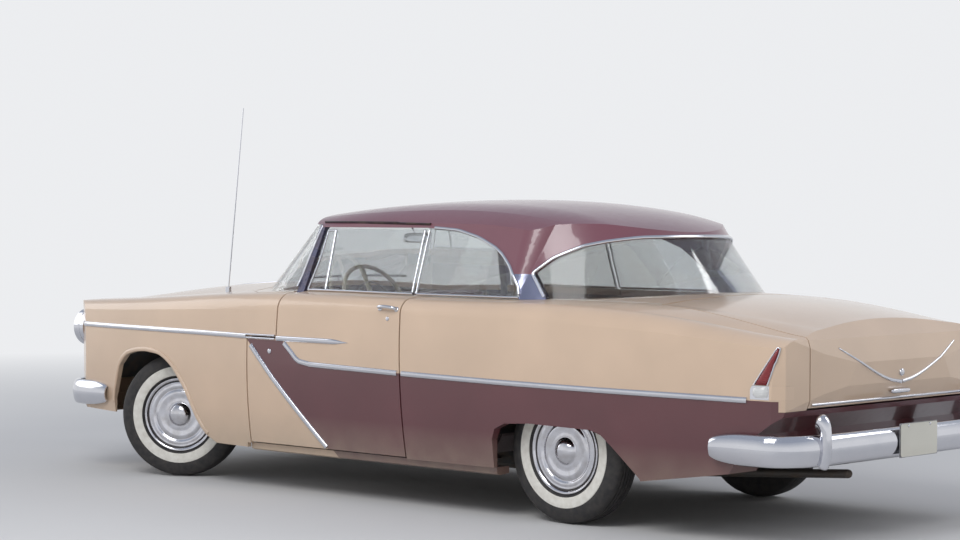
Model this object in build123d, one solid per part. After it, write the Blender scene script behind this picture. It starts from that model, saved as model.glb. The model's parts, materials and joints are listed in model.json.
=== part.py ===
from build123d import *
import os
from math import atan2, cos, radians, sin, sqrt

# A 1950s two-door hardtop car in millimetres.
# +Z is up, the front points to -Y, the car's left side is +X, and Z = 0 is the ground.

# Overall size and running gear
FRONT_AXLE_Y = -1750.0
WHEELBASE = 2921.0
REAR_AXLE_Y = FRONT_AXLE_Y + WHEELBASE
BODY_END_Y = 2588.0
WHEEL_X = 743.0
TYRE_RADIUS = 343.0
TYRE_WIDTH = 168.0
HUB_Z = 343.0
RIM_RADIUS = 190.5
RIM_FLANGE = 12.0
STEER_ANGLE = 30.5
KINGPIN_X = 660.0

# Panel sizes and gaps
SKIN = 28.0
WALL = 90.0
TOP_SKIN = 26.0
PANEL_GAP = 6.0
DOOR_GAP = 9.0
HINGE_EDGE_GAP = 15.0
RUN_CLEAR = 0.05
BODY_BASE_Z = 150.0
SEAT_GAP = 0.3
SILL_Z = 246.0

# Side of the body
DOOR_FRONT_UPPER_Y = -705.0
DOOR_FRONT_LOWER_Y = -930.0
DOOR_STEP_Z = 810.0
DOOR_REAR_TOP_Y = 193.0
DOOR_REAR_LOW_Y = 224.0
DOOR_BASE_Z = 250.0
BELT_Z = 1046.0

# Hood, cowl, deck and trunk lid seams
HOOD_FRONT_X = 560.0
HOOD_REAR_X = 655.0
HOOD_REAR_Y = -1262.0
HOOD_LIP_Z = 880.0
NOSE_Y = -2500.0
HOOD_OPENING = 50.0
LID_OPENING = 65.0
LID_FRONT_Y = 1636.0
LID_FRONT_X = 660.0
LID_REAR_X = 690.0
LID_BASE_Z = 612.0
TAIL_BASE_Z = 455.0
TAIL_Y = 2500.0

# Chassis rails
RAIL_X = 400.0
RAIL_WIDTH = 70.0
RAIL_TOP_Z = 290.0
RAIL_BASE_Z = 205.0
REAR_RAIL_TOP_Z = 490.0
FRONT_RAIL_TOP_Z = 400.0
BUMPER_BACK_Y = 2546.0
BUMPER_SIDE_X = 916.0
PLATE_THICK = 3.0
PLATE_BASE_Z = 366.0
PLATE_HEIGHT = 156.0
PLATE_HOLE_SPACING = 178.0
PLATE_HOLE_RADIUS = 3.5

# Floor
FLOOR_Z = 300.0
FLOOR = 10.0
TRUNK_FLOOR_Z = 500.0
FIREWALL_Y = -1150.0

# Grille opening
GRILLE_HALF = 520.0
GRILLE_BASE_Z = 500.0
GRILLE_TOP_Z = 760.0

# Wheel clearance
ARCH_RADIUS = 405.0
HOUSE_WALL = 8.0
FRONT_HOUSE_INNER_X = 452.0
REAR_HOUSE_INNER_X = 610.0
HOUSE_OUTER_X = 892.0
FRONT_HOUSE_BASE_Z = 530.0
REAR_HOUSE_BASE_Z = 400.0

# Glass and roof
GLASS = 6.0
ROOF_SKIN = 34.0
GLASS_SET = 8.0
DRIP_Z = 1386.0
HEADER_Z = 1402.0

# Body sections: y, rocker x, side x, side z, shoulder x, shoulder z,
# crown x, crown z, valley x, valley z, centre z
SECTIONS = [
    (-2620, 838, 866, 690, 848, 905, 770, 946, 560, 940, 950),
    (-2100, 870, 922, 690, 905, 915, 815, 975, 580, 970, 1032),
    (-1500, 890, 945, 690, 930, 935, 840, 1008, 610, 1012, 1074),
    (-800, 898, 948, 690, 934, 952, 862, 1038, 660, 1052, 1085),
    (200, 898, 948, 680, 934, 950, 870, 1034, 660, 1050, 1080),
    (1171, 893, 945, 675, 932, 948, 862, 1034, 650, 1052, 1085),
    (1900, 870, 922, 670, 908, 920, 800, 985, 600, 1020, 1052),
    (2600, 822, 855, 665, 842, 870, 700, 912, 500, 935, 945),
]
SHOULDER_BULGE = 13.0
FENDER_BULGE = 7.0

# Greenhouse outline below the belt and above the roof:
# level z, half width, side front y, side rear y, front centre y, rear centre y,
# front corner radius, rear corner radius
HOUSE_LOW = (1000, 821, -851, 800, -1243, 1598, 257, 470)
HOUSE_HIGH = (1570, 634, -500, 800, -643, 1163, 120, 230)

# Roof sections: y, centre z, inner shoulder x and drop, outer shoulder x and drop, edge drop
ROOF_SECTIONS = [
    (-900, 1448, 380, 12, 560, 30, 80),
    (-600, 1488, 400, 14, 590, 42, 100),
    (-100, 1526, 410, 18, 590, 55, 134),
    (450, 1528, 410, 20, 590, 58, 136),
    (900, 1486, 410, 20, 590, 60, 120),
    (1200, 1414, 400, 22, 570, 60, 120),
    (1400, 1330, 400, 24, 570, 62, 120),
]
ROOF_EDGE_X = 760.0
ROOF_FOOT_X = 880.0


def panel_face(plane, points, radius=0.0):
    """A flat outline in a plane, with its corners rounded where asked."""
    face = make_face(plane * Polyline(*points, close=True))
    if radius:
        face = fillet(face.vertices(), radius)
    return face


def side_block(points, x_from, x_to, radius=0.0):
    """An outline in y and z, carried across the car from x_from to x_to."""
    face = panel_face(Plane.YZ.offset(x_from), points, radius)
    return extrude(face, amount=x_to - x_from, dir=(1, 0, 0))


def plan_block(points, z_from, z_to, radius=0.0):
    """An outline in x and y, carried upwards from z_from to z_to."""
    face = panel_face(Plane.XY.offset(z_from), points, radius)
    return extrude(face, amount=z_to - z_from, dir=(0, 0, 1))


def block(x_from, x_to, y_from, y_to, z_from, z_to):
    """A plain box between its corners."""
    size = (x_to - x_from, y_to - y_from, z_to - z_from)
    centre = ((x_from + x_to) / 2, (y_from + y_to) / 2, (z_from + z_to) / 2)
    return Pos(*centre) * Box(*size)


def rod(start, end, radius):
    """A round bar between two points."""
    start, end = Vector(*start), Vector(*end)
    run = end - start
    plane = Plane(origin=start, z_dir=run)
    return extrude(plane * Circle(radius), amount=run.length)


def both_sides(shape):
    """The shape with its mirror image, fused across the centre plane."""
    return shape + mirror(shape, about=Plane.YZ)


def pair(shape):
    """The shape and its mirror image as two solids."""
    return Compound(children=[Part() + shape, Part() + mirror(shape, about=Plane.YZ)])


def arc_centre_mid(edge_x, edge_z, centre_z):
    """Middle of an arc that runs from the edge to the centre plane and is level there."""
    rise = centre_z - edge_z
    radius = (edge_x ** 2 + rise ** 2) / (2 * rise)
    half = edge_x / 2
    return half, centre_z - radius + sqrt(radius ** 2 - half ** 2)


def body_section(row, side_in, top_in):
    """Half of the body's section at one station, as a face."""
    y, rocker_x, side_x, side_z, shoulder_x, shoulder_z = row[:6]
    crown_x, crown_z, valley_x, valley_z, centre_z = row[6:]
    base_z = BODY_BASE_Z - top_in
    rocker = (rocker_x - side_in, y, base_z)
    shoulder = (shoulder_x - side_in, y, shoulder_z - 0.3 * top_in)
    crown = (crown_x - 0.9 * side_in, y, crown_z - top_in)
    valley = (valley_x - 0.5 * side_in, y, valley_z - top_in)
    middle = (0, y, centre_z - top_in)
    shoulder_mid = (
        (shoulder[0] + crown[0]) / 2 + SHOULDER_BULGE,
        y,
        (shoulder[2] + crown[2]) / 2 + SHOULDER_BULGE,
    )
    fender_mid = ((crown[0] + valley[0]) / 2, y, (crown[2] + valley[2]) / 2 + FENDER_BULGE)
    hood_x, hood_z = arc_centre_mid(valley[0], valley[2], middle[2])
    edges = [
        Line((0, y, base_z), rocker),
        ThreePointArc(rocker, (side_x - side_in, y, side_z), shoulder),
        ThreePointArc(shoulder, shoulder_mid, crown),
        ThreePointArc(crown, fender_mid, valley),
        ThreePointArc(valley, (hood_x, y, hood_z), middle),
        Line(middle, (0, y, base_z)),
    ]
    return make_face(edges)


def body_loft(side_in, top_in):
    return loft([body_section(row, side_in, top_in) for row in SECTIONS])


def end_profile(inset):
    """The body's side outline: nose, underside and tail, as a block over its half width."""
    nose, tail = NOSE_Y + inset, TAIL_Y - inset
    points = [
        (nose - 30, 1250), (nose - 36, 940), (nose, 905), (nose + 14, 760),
        (nose + 34, 560), (nose + 62, 500), (nose + 70, 420), (nose + 120, 350), (-2090, 340),
        (-2090, 60), (-1216, 60), (-1216, 226), (-962, 222), (-962, SILL_Z), (830, SILL_Z),
        (830, 60), (1690, 60), (1690, 250), (2061, 302), (2181, 320), (tail - 168, 500),
        (tail - 55, 580), (tail - 8, 700), (tail - 4, 800), (tail - 40, 910),
        (tail - 140, 1010), (tail - 200, 1250),
    ]
    return side_block(points, -10, 1000)


def end_plan(inset):
    """The body's plan outline at nose and tail, as a block over its half width."""
    nose, tail = NOSE_Y + inset, TAIL_Y - inset
    points = [
        (-10, nose - 20), (470, nose - 20), (640, nose - 36), (800, nose - 30),
        (846, nose + 40), (1000, nose + 290), (1000, tail - 420), (905, tail - 130),
        (845, tail - 45), (600, tail - 20), (300, tail), (-10, tail),
    ]
    return plan_block(points, 40, 1260)


def oval_end(half_width, side_y, centre_y, corner_radius, inset, z):
    """Two tangent arcs that close one end of the greenhouse, from the centre to the side."""
    sense = 1 if centre_y > side_y else -1
    reach = abs(centre_y - side_y)
    small = corner_radius - inset
    across = half_width - corner_radius
    long_radius = (across ** 2 + (reach - inset) ** 2 - small ** 2) / (2 * (reach - corner_radius))
    centre_v = reach - inset - long_radius
    turn = atan2(-centre_v, across)
    join = (long_radius * cos(turn), centre_v + long_radius * sin(turn))
    quarter = (turn + radians(90)) / 2
    long_mid = (long_radius * cos(quarter), centre_v + long_radius * sin(quarter))
    small_mid = (across + small * cos(turn / 2), small * sin(turn / 2))

    def place(point):
        return (point[0], side_y + sense * point[1], z)

    centre_point = (0, side_y + sense * (reach - inset), z)
    side_point = (half_width - inset, side_y, z)
    return [
        ThreePointArc(centre_point, place(long_mid), place(join)),
        ThreePointArc(place(join), place(small_mid), side_point),
    ]


def house_outline(z, inset):
    """Half of the greenhouse's outline at a level."""
    share = (z - HOUSE_LOW[0]) / (HOUSE_HIGH[0] - HOUSE_LOW[0])
    values = [low + share * (high - low) for low, high in zip(HOUSE_LOW, HOUSE_HIGH)]
    half_width, front_side, rear_side, front_mid, rear_mid, front_r, rear_r = values[1:]
    front = oval_end(half_width, front_side, front_mid, front_r, inset, z)
    rear = oval_end(half_width, rear_side, rear_mid, rear_r, inset, z)
    side = Line(front[1] @ 1, rear[1] @ 1)
    close = Line(rear[0] @ 0, front[0] @ 0)
    return make_face([*front, side, *rear, close])


def house(inset):
    """Half of the greenhouse as a solid, from below the belt to above the roof."""
    faces = [house_outline(HOUSE_LOW[0], inset), house_outline(HOUSE_HIGH[0], inset)]
    return loft(faces, ruled=True)


def roof_section(row, drop):
    y, centre_z, inner_x, inner_drop, outer_x, outer_drop, edge_drop = row
    top = centre_z - drop
    middle = (0, y, top)
    inner = (inner_x, y, top - inner_drop)
    outer = (outer_x, y, top - outer_drop)
    edge = (ROOF_EDGE_X, y, top - edge_drop - 60)
    mid_x, mid_z = arc_centre_mid(inner_x, top - inner_drop, top)
    bend = (0.5 * (inner_x + outer_x), y, top - 0.5 * (inner_drop + outer_drop) + 6)
    roll = (0.5 * (outer_x + ROOF_EDGE_X), y, top - 0.5 * (outer_drop + edge_drop + 60) + 16)
    return make_face([
        ThreePointArc(middle, (mid_x, y, mid_z), inner),
        ThreePointArc(inner, bend, outer),
        ThreePointArc(outer, roll, edge),
        Line(edge, (ROOF_FOOT_X, y, 1000)),
        Line((ROOF_FOOT_X, y, 1000), (0, y, 1000)),
        Line((0, y, 1000), middle),
    ])


def roof_loft(drop):
    return loft([roof_section(row, drop) for row in ROOF_SECTIONS])


def door_outline(inset):
    """The door's outline seen from the side, smaller by the inset, or larger if negative."""
    slope = (DOOR_REAR_TOP_Y - DOOR_REAR_LOW_Y) / (BELT_Z - DOOR_BASE_Z)
    return [
        (DOOR_FRONT_UPPER_Y + inset, 1300),
        (DOOR_FRONT_UPPER_Y + inset, DOOR_STEP_Z - inset),
        (DOOR_FRONT_LOWER_Y + inset, DOOR_STEP_Z - inset),
        (DOOR_FRONT_LOWER_Y + inset, DOOR_BASE_Z + inset),
        (DOOR_REAR_LOW_Y - inset, DOOR_BASE_Z + inset),
        (DOOR_REAR_LOW_Y + slope * (1300 - DOOR_BASE_Z) - inset, 1300),
    ]


def door_block(inset):
    return side_block(door_outline(inset), 500, 1000)


def front_centre_outline(gap):
    """Plan outline of the hood's strip between the fenders, wider by the gap."""
    return plan_block(
        [(-10, -2700), (HOOD_FRONT_X + gap, -2700), (HOOD_REAR_X + gap, HOOD_REAR_Y),
         (HOOD_REAR_X + gap, HOOD_REAR_Y + HINGE_EDGE_GAP),
         (-10, HOOD_REAR_Y + HINGE_EDGE_GAP)], 60, 1300)


def rear_centre_outline(gap):
    """Plan outline of the strip between the rear fenders, wider by the gap."""
    return plan_block(
        [(-10, 850), (LID_FRONT_X + gap, 850), (LID_FRONT_X + gap, LID_FRONT_Y),
         (LID_REAR_X + gap, 2700), (-10, 2700)], 60, 1300)


# Shared forms, each for the left half
body_outer = body_loft(0, 0) & end_profile(0) & end_plan(0)
body_thin = body_loft(SKIN, TOP_SKIN) & end_profile(SKIN) & end_plan(SKIN)
body_thick = body_loft(WALL, TOP_SKIN) & end_profile(SKIN) & end_plan(SKIN)
house_outer = house(0)
house_inner = house(ROOF_SKIN)
glass_outer = house(GLASS_SET)
glass_inner = house(GLASS_SET + GLASS)

body_cover = Pos(0, 0, SEAT_GAP) * body_outer

cabin_hole = extrude(house_outline(BELT_Z, 38), amount=400, dir=(0, 0, 1))
cabin_hole += extrude(house_outline(BELT_Z, 38), amount=-120, dir=(0, 0, 1))

# Wheel arches as seen from the side
front_arch = side_block(
    [(-2096, 60), (-2096, 420), (-2068, 500), (-2030, 610), (-1965, 670), (-1880, 690),
     (-1790, 695), (-1670, 684), (-1590, 650), (-1530, 595), (-1458, 505), (-1373, 350),
     (-1290, 262), (-1216, 226), (-1200, 60)],
    700, 1000)
rear_arch = side_block(
    [(815, 60), (815, 385), (836, 435), (899, 464), (1057, 474), (1426, 467),
     (1488, 447), (1550, 396), (1617, 335), (1693, 262), (1760, 60)],
    700, 1000)


def wheel_space(axle_y, inner_x, outer_x, radius):
    """Half drum over a wheel, open below."""
    drum = Pos(0, axle_y, HUB_Z) * Rot(0, 90, 0) * Cylinder(radius, outer_x - inner_x)
    drum = Pos((inner_x + outer_x) / 2, 0, 0) * drum
    skirt = block(inner_x, outer_x, axle_y - radius, axle_y + radius, 0, HUB_Z)
    return drum + skirt


# Door pivot, under the step of the fender
DOOR_PIVOT = (937.0, -908.0)
DOOR_PIN_RADIUS = 4.0


def door_pin(radius, low_z, high_z):
    return rod((*DOOR_PIVOT, low_z), (*DOOR_PIVOT, high_z), radius)


# Hood and trunk hinges: a curved arm that swings round the edge of the fixed panel
HINGE_X = 250.0
HINGE_LEVER = 95.0
HINGE_PIN_RADIUS = 4.0
HINGE_EYE_RADIUS = 8.0
HOOD_PIVOT_Z = 1036.0
LID_PIVOT_Z = 1032.0


def hinge_arm(sense, edge_y, pivot_z, opening):
    """The arm of a lid; sense is +1 where the lid lies behind its hinge."""
    pivot_y = edge_y - sense * HINGE_LEVER
    inner, outer = HINGE_LEVER + 3, HINGE_LEVER + 21

    def spot(radius, angle):
        turn = radians(angle)
        return (HINGE_X - 5, pivot_y + sense * radius * cos(turn), pivot_z + radius * sin(turn))

    leg = opening + 10
    ring = make_face([
        ThreePointArc(spot(inner, 4), spot(inner, -leg / 2), spot(inner, -leg)),
        Line(spot(inner, -leg), spot(outer, -leg)),
        ThreePointArc(spot(outer, -leg), spot(outer, -leg / 2), spot(outer, 4)),
        Line(spot(outer, 4), spot(inner, 4)),
    ])
    arm = extrude(ring, amount=10, dir=(1, 0, 0))
    bar = make_face(Polyline(
        spot(8, -leg + 90), spot(8, -leg - 90), spot(outer, -leg - 4), spot(outer, -leg + 4), close=True))
    arm += extrude(bar, amount=10, dir=(1, 0, 0))
    arm += rod((HINGE_X - 5, pivot_y, pivot_z), (HINGE_X + 5, pivot_y, pivot_z), HINGE_EYE_RADIUS)
    return arm - rod((HINGE_X - 9, pivot_y, pivot_z), (HINGE_X + 9, pivot_y, pivot_z),
                     HINGE_PIN_RADIUS + RUN_CLEAR)


def hinge_bracket(sense, edge_y, pivot_z):
    """The pin of a lid's hinge with the ear that hangs from the fixed panel."""
    pivot_y = edge_y - sense * HINGE_LEVER
    ear = block(HINGE_X + 10, HINGE_X + 18, pivot_y - 9, pivot_y + 9, pivot_z - 9, pivot_z + 14)
    return ear + rod((HINGE_X - 8, pivot_y, pivot_z), (HINGE_X + 11, pivot_y, pivot_z), HINGE_PIN_RADIUS)


# Front fenders
def front_fender():
    shell = body_outer - body_thin
    shell &= block(300, 1000, -2700, DOOR_FRONT_UPPER_Y - DOOR_GAP / 2, 100, 1200)
    shell -= door_block(-DOOR_GAP / 2)
    shell -= front_arch
    shell -= wheel_space(FRONT_AXLE_Y, 300, HOUSE_OUTER_X + 0.5, ARCH_RADIUS + HOUSE_WALL + 0.5)
    shell -= front_centre_outline(PANEL_GAP)
    shell -= plan_block(
        [(-10, HOOD_REAR_Y), (HOOD_REAR_X + PANEL_GAP, HOOD_REAR_Y),
         (HOOD_REAR_X + PANEL_GAP, HOOD_REAR_Y + HINGE_EDGE_GAP),
         (846, -960), (846, -500), (-10, -500)],
        60, 1300)
    return shell + door_pin(DOOR_PIN_RADIUS, DOOR_STEP_Z - 25, DOOR_STEP_Z + 20)


# Hood and cowl
def hood():
    shell = body_outer - body_thin
    region = plan_block(
        [(-10, -2700), (HOOD_FRONT_X, -2700), (HOOD_REAR_X, HOOD_REAR_Y), (-10, HOOD_REAR_Y)],
        HOOD_LIP_Z, 1300)
    return both_sides((shell & region) + hinge_arm(-1, HOOD_REAR_Y, HOOD_PIVOT_Z, HOOD_OPENING))


def cowl_panel():
    shell = body_outer - body_thin
    front_y = HOOD_REAR_Y + HINGE_EDGE_GAP
    region = plan_block(
        [(-10, front_y), (HOOD_REAR_X, front_y), (840, -963),
         (840, DOOR_FRONT_UPPER_Y - DOOR_GAP / 2), (-10, DOOR_FRONT_UPPER_Y - DOOR_GAP / 2)],
        880, 1300)
    cabin = cabin_hole & block(-10, 1000, FIREWALL_Y + FLOOR - 1, 0, 900, 1500)
    return both_sides((shell & region) - cabin + hinge_bracket(-1, HOOD_REAR_Y, HOOD_PIVOT_Z))


# Doors and quarter panels
def door_panel():
    shell = body_outer - body_thick
    pillar_room = block(500, 838, -760, -640, 940, 1200)
    panel = (shell & door_block(DOOR_GAP / 2)) - cabin_hole - pillar_room
    return panel - door_pin(DOOR_PIN_RADIUS + RUN_CLEAR, DOOR_STEP_Z - 30, DOOR_STEP_Z)


def quarter_panel():
    skin = (body_outer - body_thin) & block(300, 1000, 100, 2700, 100, 1300)
    skin -= door_block(-DOOR_GAP / 2)
    wall = (body_outer - body_thick) & block(300, 1000, 100, 1500, 100, 1300)
    wall -= door_block(-DOOR_GAP / 2 - 8)
    shell = skin + wall
    shell -= cabin_hole
    shell -= rear_arch
    shell -= wheel_space(REAR_AXLE_Y, 300, HOUSE_OUTER_X + 0.5, ARCH_RADIUS + HOUSE_WALL + 0.5)
    shell -= rear_centre_outline(PANEL_GAP)
    return shell - tail_lamp_space(0)


def tail_lamp_space(inset):
    """The raked slot at the end of the rear fender that holds the lamp."""
    points = [(2300 + inset, 655 + inset), (2300 + inset, 700), (2418 + inset, 900),
              (2600, 900), (2600, 655 + inset)]
    return side_block(points, 790, 1000)


def tail_lamps():
    lens_body = (body_outer & tail_lamp_space(0.3)) & block(790, 1000, 2200, 2700, 716, 900)
    return pair(lens_body)


def tail_lamp_bezels():
    bezel = (body_outer & tail_lamp_space(0.3)) & block(790, 1000, 2200, 2700, 655, 715.7)
    return pair(bezel)


def rear_deck_panel():
    shell = body_outer - body_thin
    region = block(-10, 1000, 850, LID_FRONT_Y - HINGE_EDGE_GAP, 900, 1300)
    shell = (shell & region & rear_centre_outline(PANEL_GAP)) - cabin_hole
    return both_sides(shell + hinge_bracket(1, LID_FRONT_Y, LID_PIVOT_Z))


def trunk_lid():
    shell = body_outer - body_thin
    region = plan_block(
        [(-10, LID_FRONT_Y), (LID_FRONT_X, LID_FRONT_Y), (LID_REAR_X, 2700), (-10, 2700)],
        LID_BASE_Z, 1300)
    return both_sides((shell & region) + hinge_arm(1, LID_FRONT_Y, LID_PIVOT_Z, LID_OPENING))


def tail_panel():
    shell = body_outer - body_thin
    region = block(-10, 1000, 2250, 2700, TAIL_BASE_Z, LID_BASE_Z - DOOR_GAP)
    return both_sides(shell & region & rear_centre_outline(PANEL_GAP))


def front_panel():
    shell = body_outer - body_thin
    region = block(-10, 1000, -2700, -2380, FRONT_RAIL_TOP_Z, HOOD_LIP_Z - DOOR_GAP)
    opening = block(-10, GRILLE_HALF, -2700, -2300, GRILLE_BASE_Z, GRILLE_TOP_Z)
    return both_sides((shell & region & front_centre_outline(PANEL_GAP)) - opening)


def rocker_panels():
    sill = SILL_Z - SEAT_GAP
    points = [(800, 212), (866, 206), (884, 214), (888, sill), (800, sill)]
    face = make_face(Plane.XZ.offset(959) * Polyline(*points, close=True))
    return pair(extrude(face, amount=959 + 808, dir=(0, 1, 0)))


# Roof with its rear pillars
quarter_window_rear = [
    (150, 1386), (371, 1373), (522, 1339), (672, 1281), (758, 1211), (836, 1115), (880, 1000)]
backlight_front = [
    (1024, 1000), (1010, 1043), (895, 1173), (975, 1246), (1095, 1310), (1243, 1342), (1335, 1347)]


side_windows = side_block(
    [(-1400, 900), (-1400, HEADER_Z), (-640, HEADER_Z), (-620, DRIP_Z), *quarter_window_rear,
     (880, 900)],
    -10, 1000)


def roof_panel():
    shell = house_outer & roof_loft(0)
    shell -= house_inner & roof_loft(ROOF_SKIN)
    backlight = side_block(
        [(1024, 900), *backlight_front, (1700, 1347), (1700, 900)],
        -10, 1000)
    shell -= side_windows
    shell -= backlight
    return both_sides(shell - body_cover)


def windshield_pillars():
    shell = house_outer - house_inner
    pillar = side_block([(-704, 1000), (-652, 1000), (-595, 1420), (-634, 1420)], 500, 1000)
    pillar = shell & pillar & (Pos(0, 0, -SEAT_GAP) * side_windows)
    foot = block(770, 822, -704, -652, 960, 1001)
    root = block(770, 822, -800, -700, 960, 1100) & body_thin
    return pair(pillar + foot + (root & block(700, 1000, -900, -712, 900, 1200)) + block(
        770, 822, -712, -700, 960, 1001))


def windshield_glass():
    shell = glass_outer - glass_inner
    region = side_block(
        [(-1500, BELT_Z - 20), (-708, BELT_Z - 20), (-640, HEADER_Z - SEAT_GAP),
         (-1500, HEADER_Z - SEAT_GAP)],
        -10, 1000)
    return both_sides((shell & region) - body_cover)


def backlight_glass():
    shell = glass_outer - glass_inner
    region = side_block(
        [(1030, BELT_Z - 30), (1011, BELT_Z), (896, 1173), (976, 1245.5), (1095.5, 1309.5),
         (1243, 1341.5), (1335, 1346.5), (1800, 1346.5), (1800, BELT_Z - 30)],
        -10, 1000)
    return both_sides((shell & region) - body_cover)


def quarter_windows():
    shell = glass_outer - glass_inner
    region = side_block(
        [(166, BELT_Z - 20), (158, 1385.5), (371, 1372.5), (521, 1338.5), (671, 1280.5), (757, 1210.5),
         (835, 1114.5), (866, BELT_Z - 20)],
        500, 1000)
    door_room = (Pos(0, 0, 6) * body_outer) & block(500, 1000, 100, DOOR_REAR_TOP_Y + 14, 900, 1300)
    return pair((shell & region) - body_cover - door_room)


def door_glass():
    shell = glass_outer - glass_inner
    region = side_block(
        [(-636, BELT_Z - 20), (-586, 1378), (146, 1378), (154, BELT_Z - 20)], 500, 1000)
    return (shell & region) - body_cover


# Wheels and tyres
def revolve_about_axle(points):
    """Turn a profile of (radius, offset outwards) points into a ring about the wheel's axle."""
    face = make_face(Plane.XZ * Polyline(*[(offset, radius) for radius, offset in points], close=True))
    return revolve(face, axis=Axis.X)


def tyre():
    """Tyre as a ring with a crowned tread and rounded shoulders."""
    half = TYRE_WIDTH / 2
    tread_x, tread_r = half - 24, TYRE_RADIUS - 6
    wall_x, wall_r = half, TYRE_RADIUS - 72
    bead_x, bead_r = half - 24, RIM_RADIUS + SEAT_GAP
    flange_r = RIM_RADIUS + RIM_FLANGE + 1
    edges = [ThreePointArc((-tread_x, 0, tread_r), (0, 0, TYRE_RADIUS), (tread_x, 0, tread_r))]
    for side in (1, -1):
        tread = (side * tread_x, 0, tread_r)
        wall = (side * wall_x, 0, wall_r)
        bead = (side * bead_x, 0, bead_r)
        flange = (side * (bead_x + 2), 0, flange_r)
        edges.append(ThreePointArc(tread, (side * (half - 5), 0, TYRE_RADIUS - 30), wall))
        edges.append(ThreePointArc(wall, (side * (half - 3), 0, RIM_RADIUS + 40), flange))
        edges.append(Line(flange, bead))
    edges.append(Line((bead_x, 0, bead_r), (-bead_x, 0, bead_r)))
    return revolve(make_face(edges), axis=Axis.X)


HUB_BORE = 24.0


def wheel():
    """Rim, full cover and brake drum; the outer side is +X."""
    lip = RIM_RADIUS + RIM_FLANGE
    profile = [
        # radius, offset: the cover from its middle, the rim, the drum and the bore
        (0, 92), (24, 90), (42, 84), (58, 73), (70, 62), (90, 61), (112, 66), (128, 64), (140, 57),
        (152, 65), (170, 63), (178, 66), (183, 61), (190, 70), (lip, 72), (lip, 66),
        (RIM_RADIUS, 62), (RIM_RADIUS, -62), (lip, -66), (lip, -72), (RIM_RADIUS - 10, -70),
        (RIM_RADIUS - 14, -40), (RIM_RADIUS - 30, -12), (RIM_RADIUS - 30, 12), (150, 22),
        (150, -34), (142, -34), (142, 12), (60, 12), (50, -30), (HUB_BORE, -30), (HUB_BORE, 37),
        (0, 37)]
    return revolve_about_axle(profile)


def knuckle():
    """Steering knuckle with its kingpin, spindle, backing plate and steering arm."""
    inward = KINGPIN_X - WHEEL_X
    spindle = rod((inward + 4, 0, 0), (33, 0, 0), HUB_BORE - RUN_CLEAR)
    flange = rod((inward + 4, 0, 0), (-40, 0, 0), 52)
    plate = rod((-46, 0, 0), (-40, 0, 0), 138)
    post = rod((inward, 0, -83.7), (inward, 0, 109.7), 17)
    arm = block(inward - 12, inward + 12, 10, 150, -60, -40)
    return spindle + flange + plate + post + arm


def front_place(side):
    """Where a steered front wheel stands at rest, side +1 on the left."""
    pivot = Pos(side * KINGPIN_X, FRONT_AXLE_Y, HUB_Z) * Rot(0, 0, STEER_ANGLE)
    shift = Pos(side * (WHEEL_X - KINGPIN_X), 0, 0)
    return pivot * shift


def rear_place(side):
    return Pos(side * WHEEL_X, REAR_AXLE_Y, HUB_Z)


def handed(shape, side):
    """The shape as made for the left, or mirrored for the right."""
    return shape if side > 0 else mirror(shape, about=Plane.YZ)


# Wheel houses
def wheel_houses():
    solids = []
    table = [
        # axle y, inner x, base z
        (FRONT_AXLE_Y, FRONT_HOUSE_INNER_X, FRONT_HOUSE_BASE_Z),
        (REAR_AXLE_Y, REAR_HOUSE_INNER_X, REAR_HOUSE_BASE_Z),
    ]
    for axle_y, inner_x, base_z in table:
        shell = wheel_space(axle_y, inner_x, HOUSE_OUTER_X, ARCH_RADIUS + HOUSE_WALL)
        shell -= wheel_space(axle_y, inner_x + HOUSE_WALL, HOUSE_OUTER_X + 10, ARCH_RADIUS)
        shell &= block(300, 1000, axle_y - 500, axle_y + 500, base_z, 1000)
        shell &= body_thin
        solids += [Part() + shell, Part() + mirror(shell, about=Plane.YZ)]
    return Compound(children=solids)


# Chassis
LOWER_PIVOT_Z = HUB_Z - 105
UPPER_PIVOT_Z = HUB_Z + 130
SPRING_X = 528.0
SPRING_FRONT_Y = 470.0
SPRING_REAR_Y = 1900.0


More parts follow.
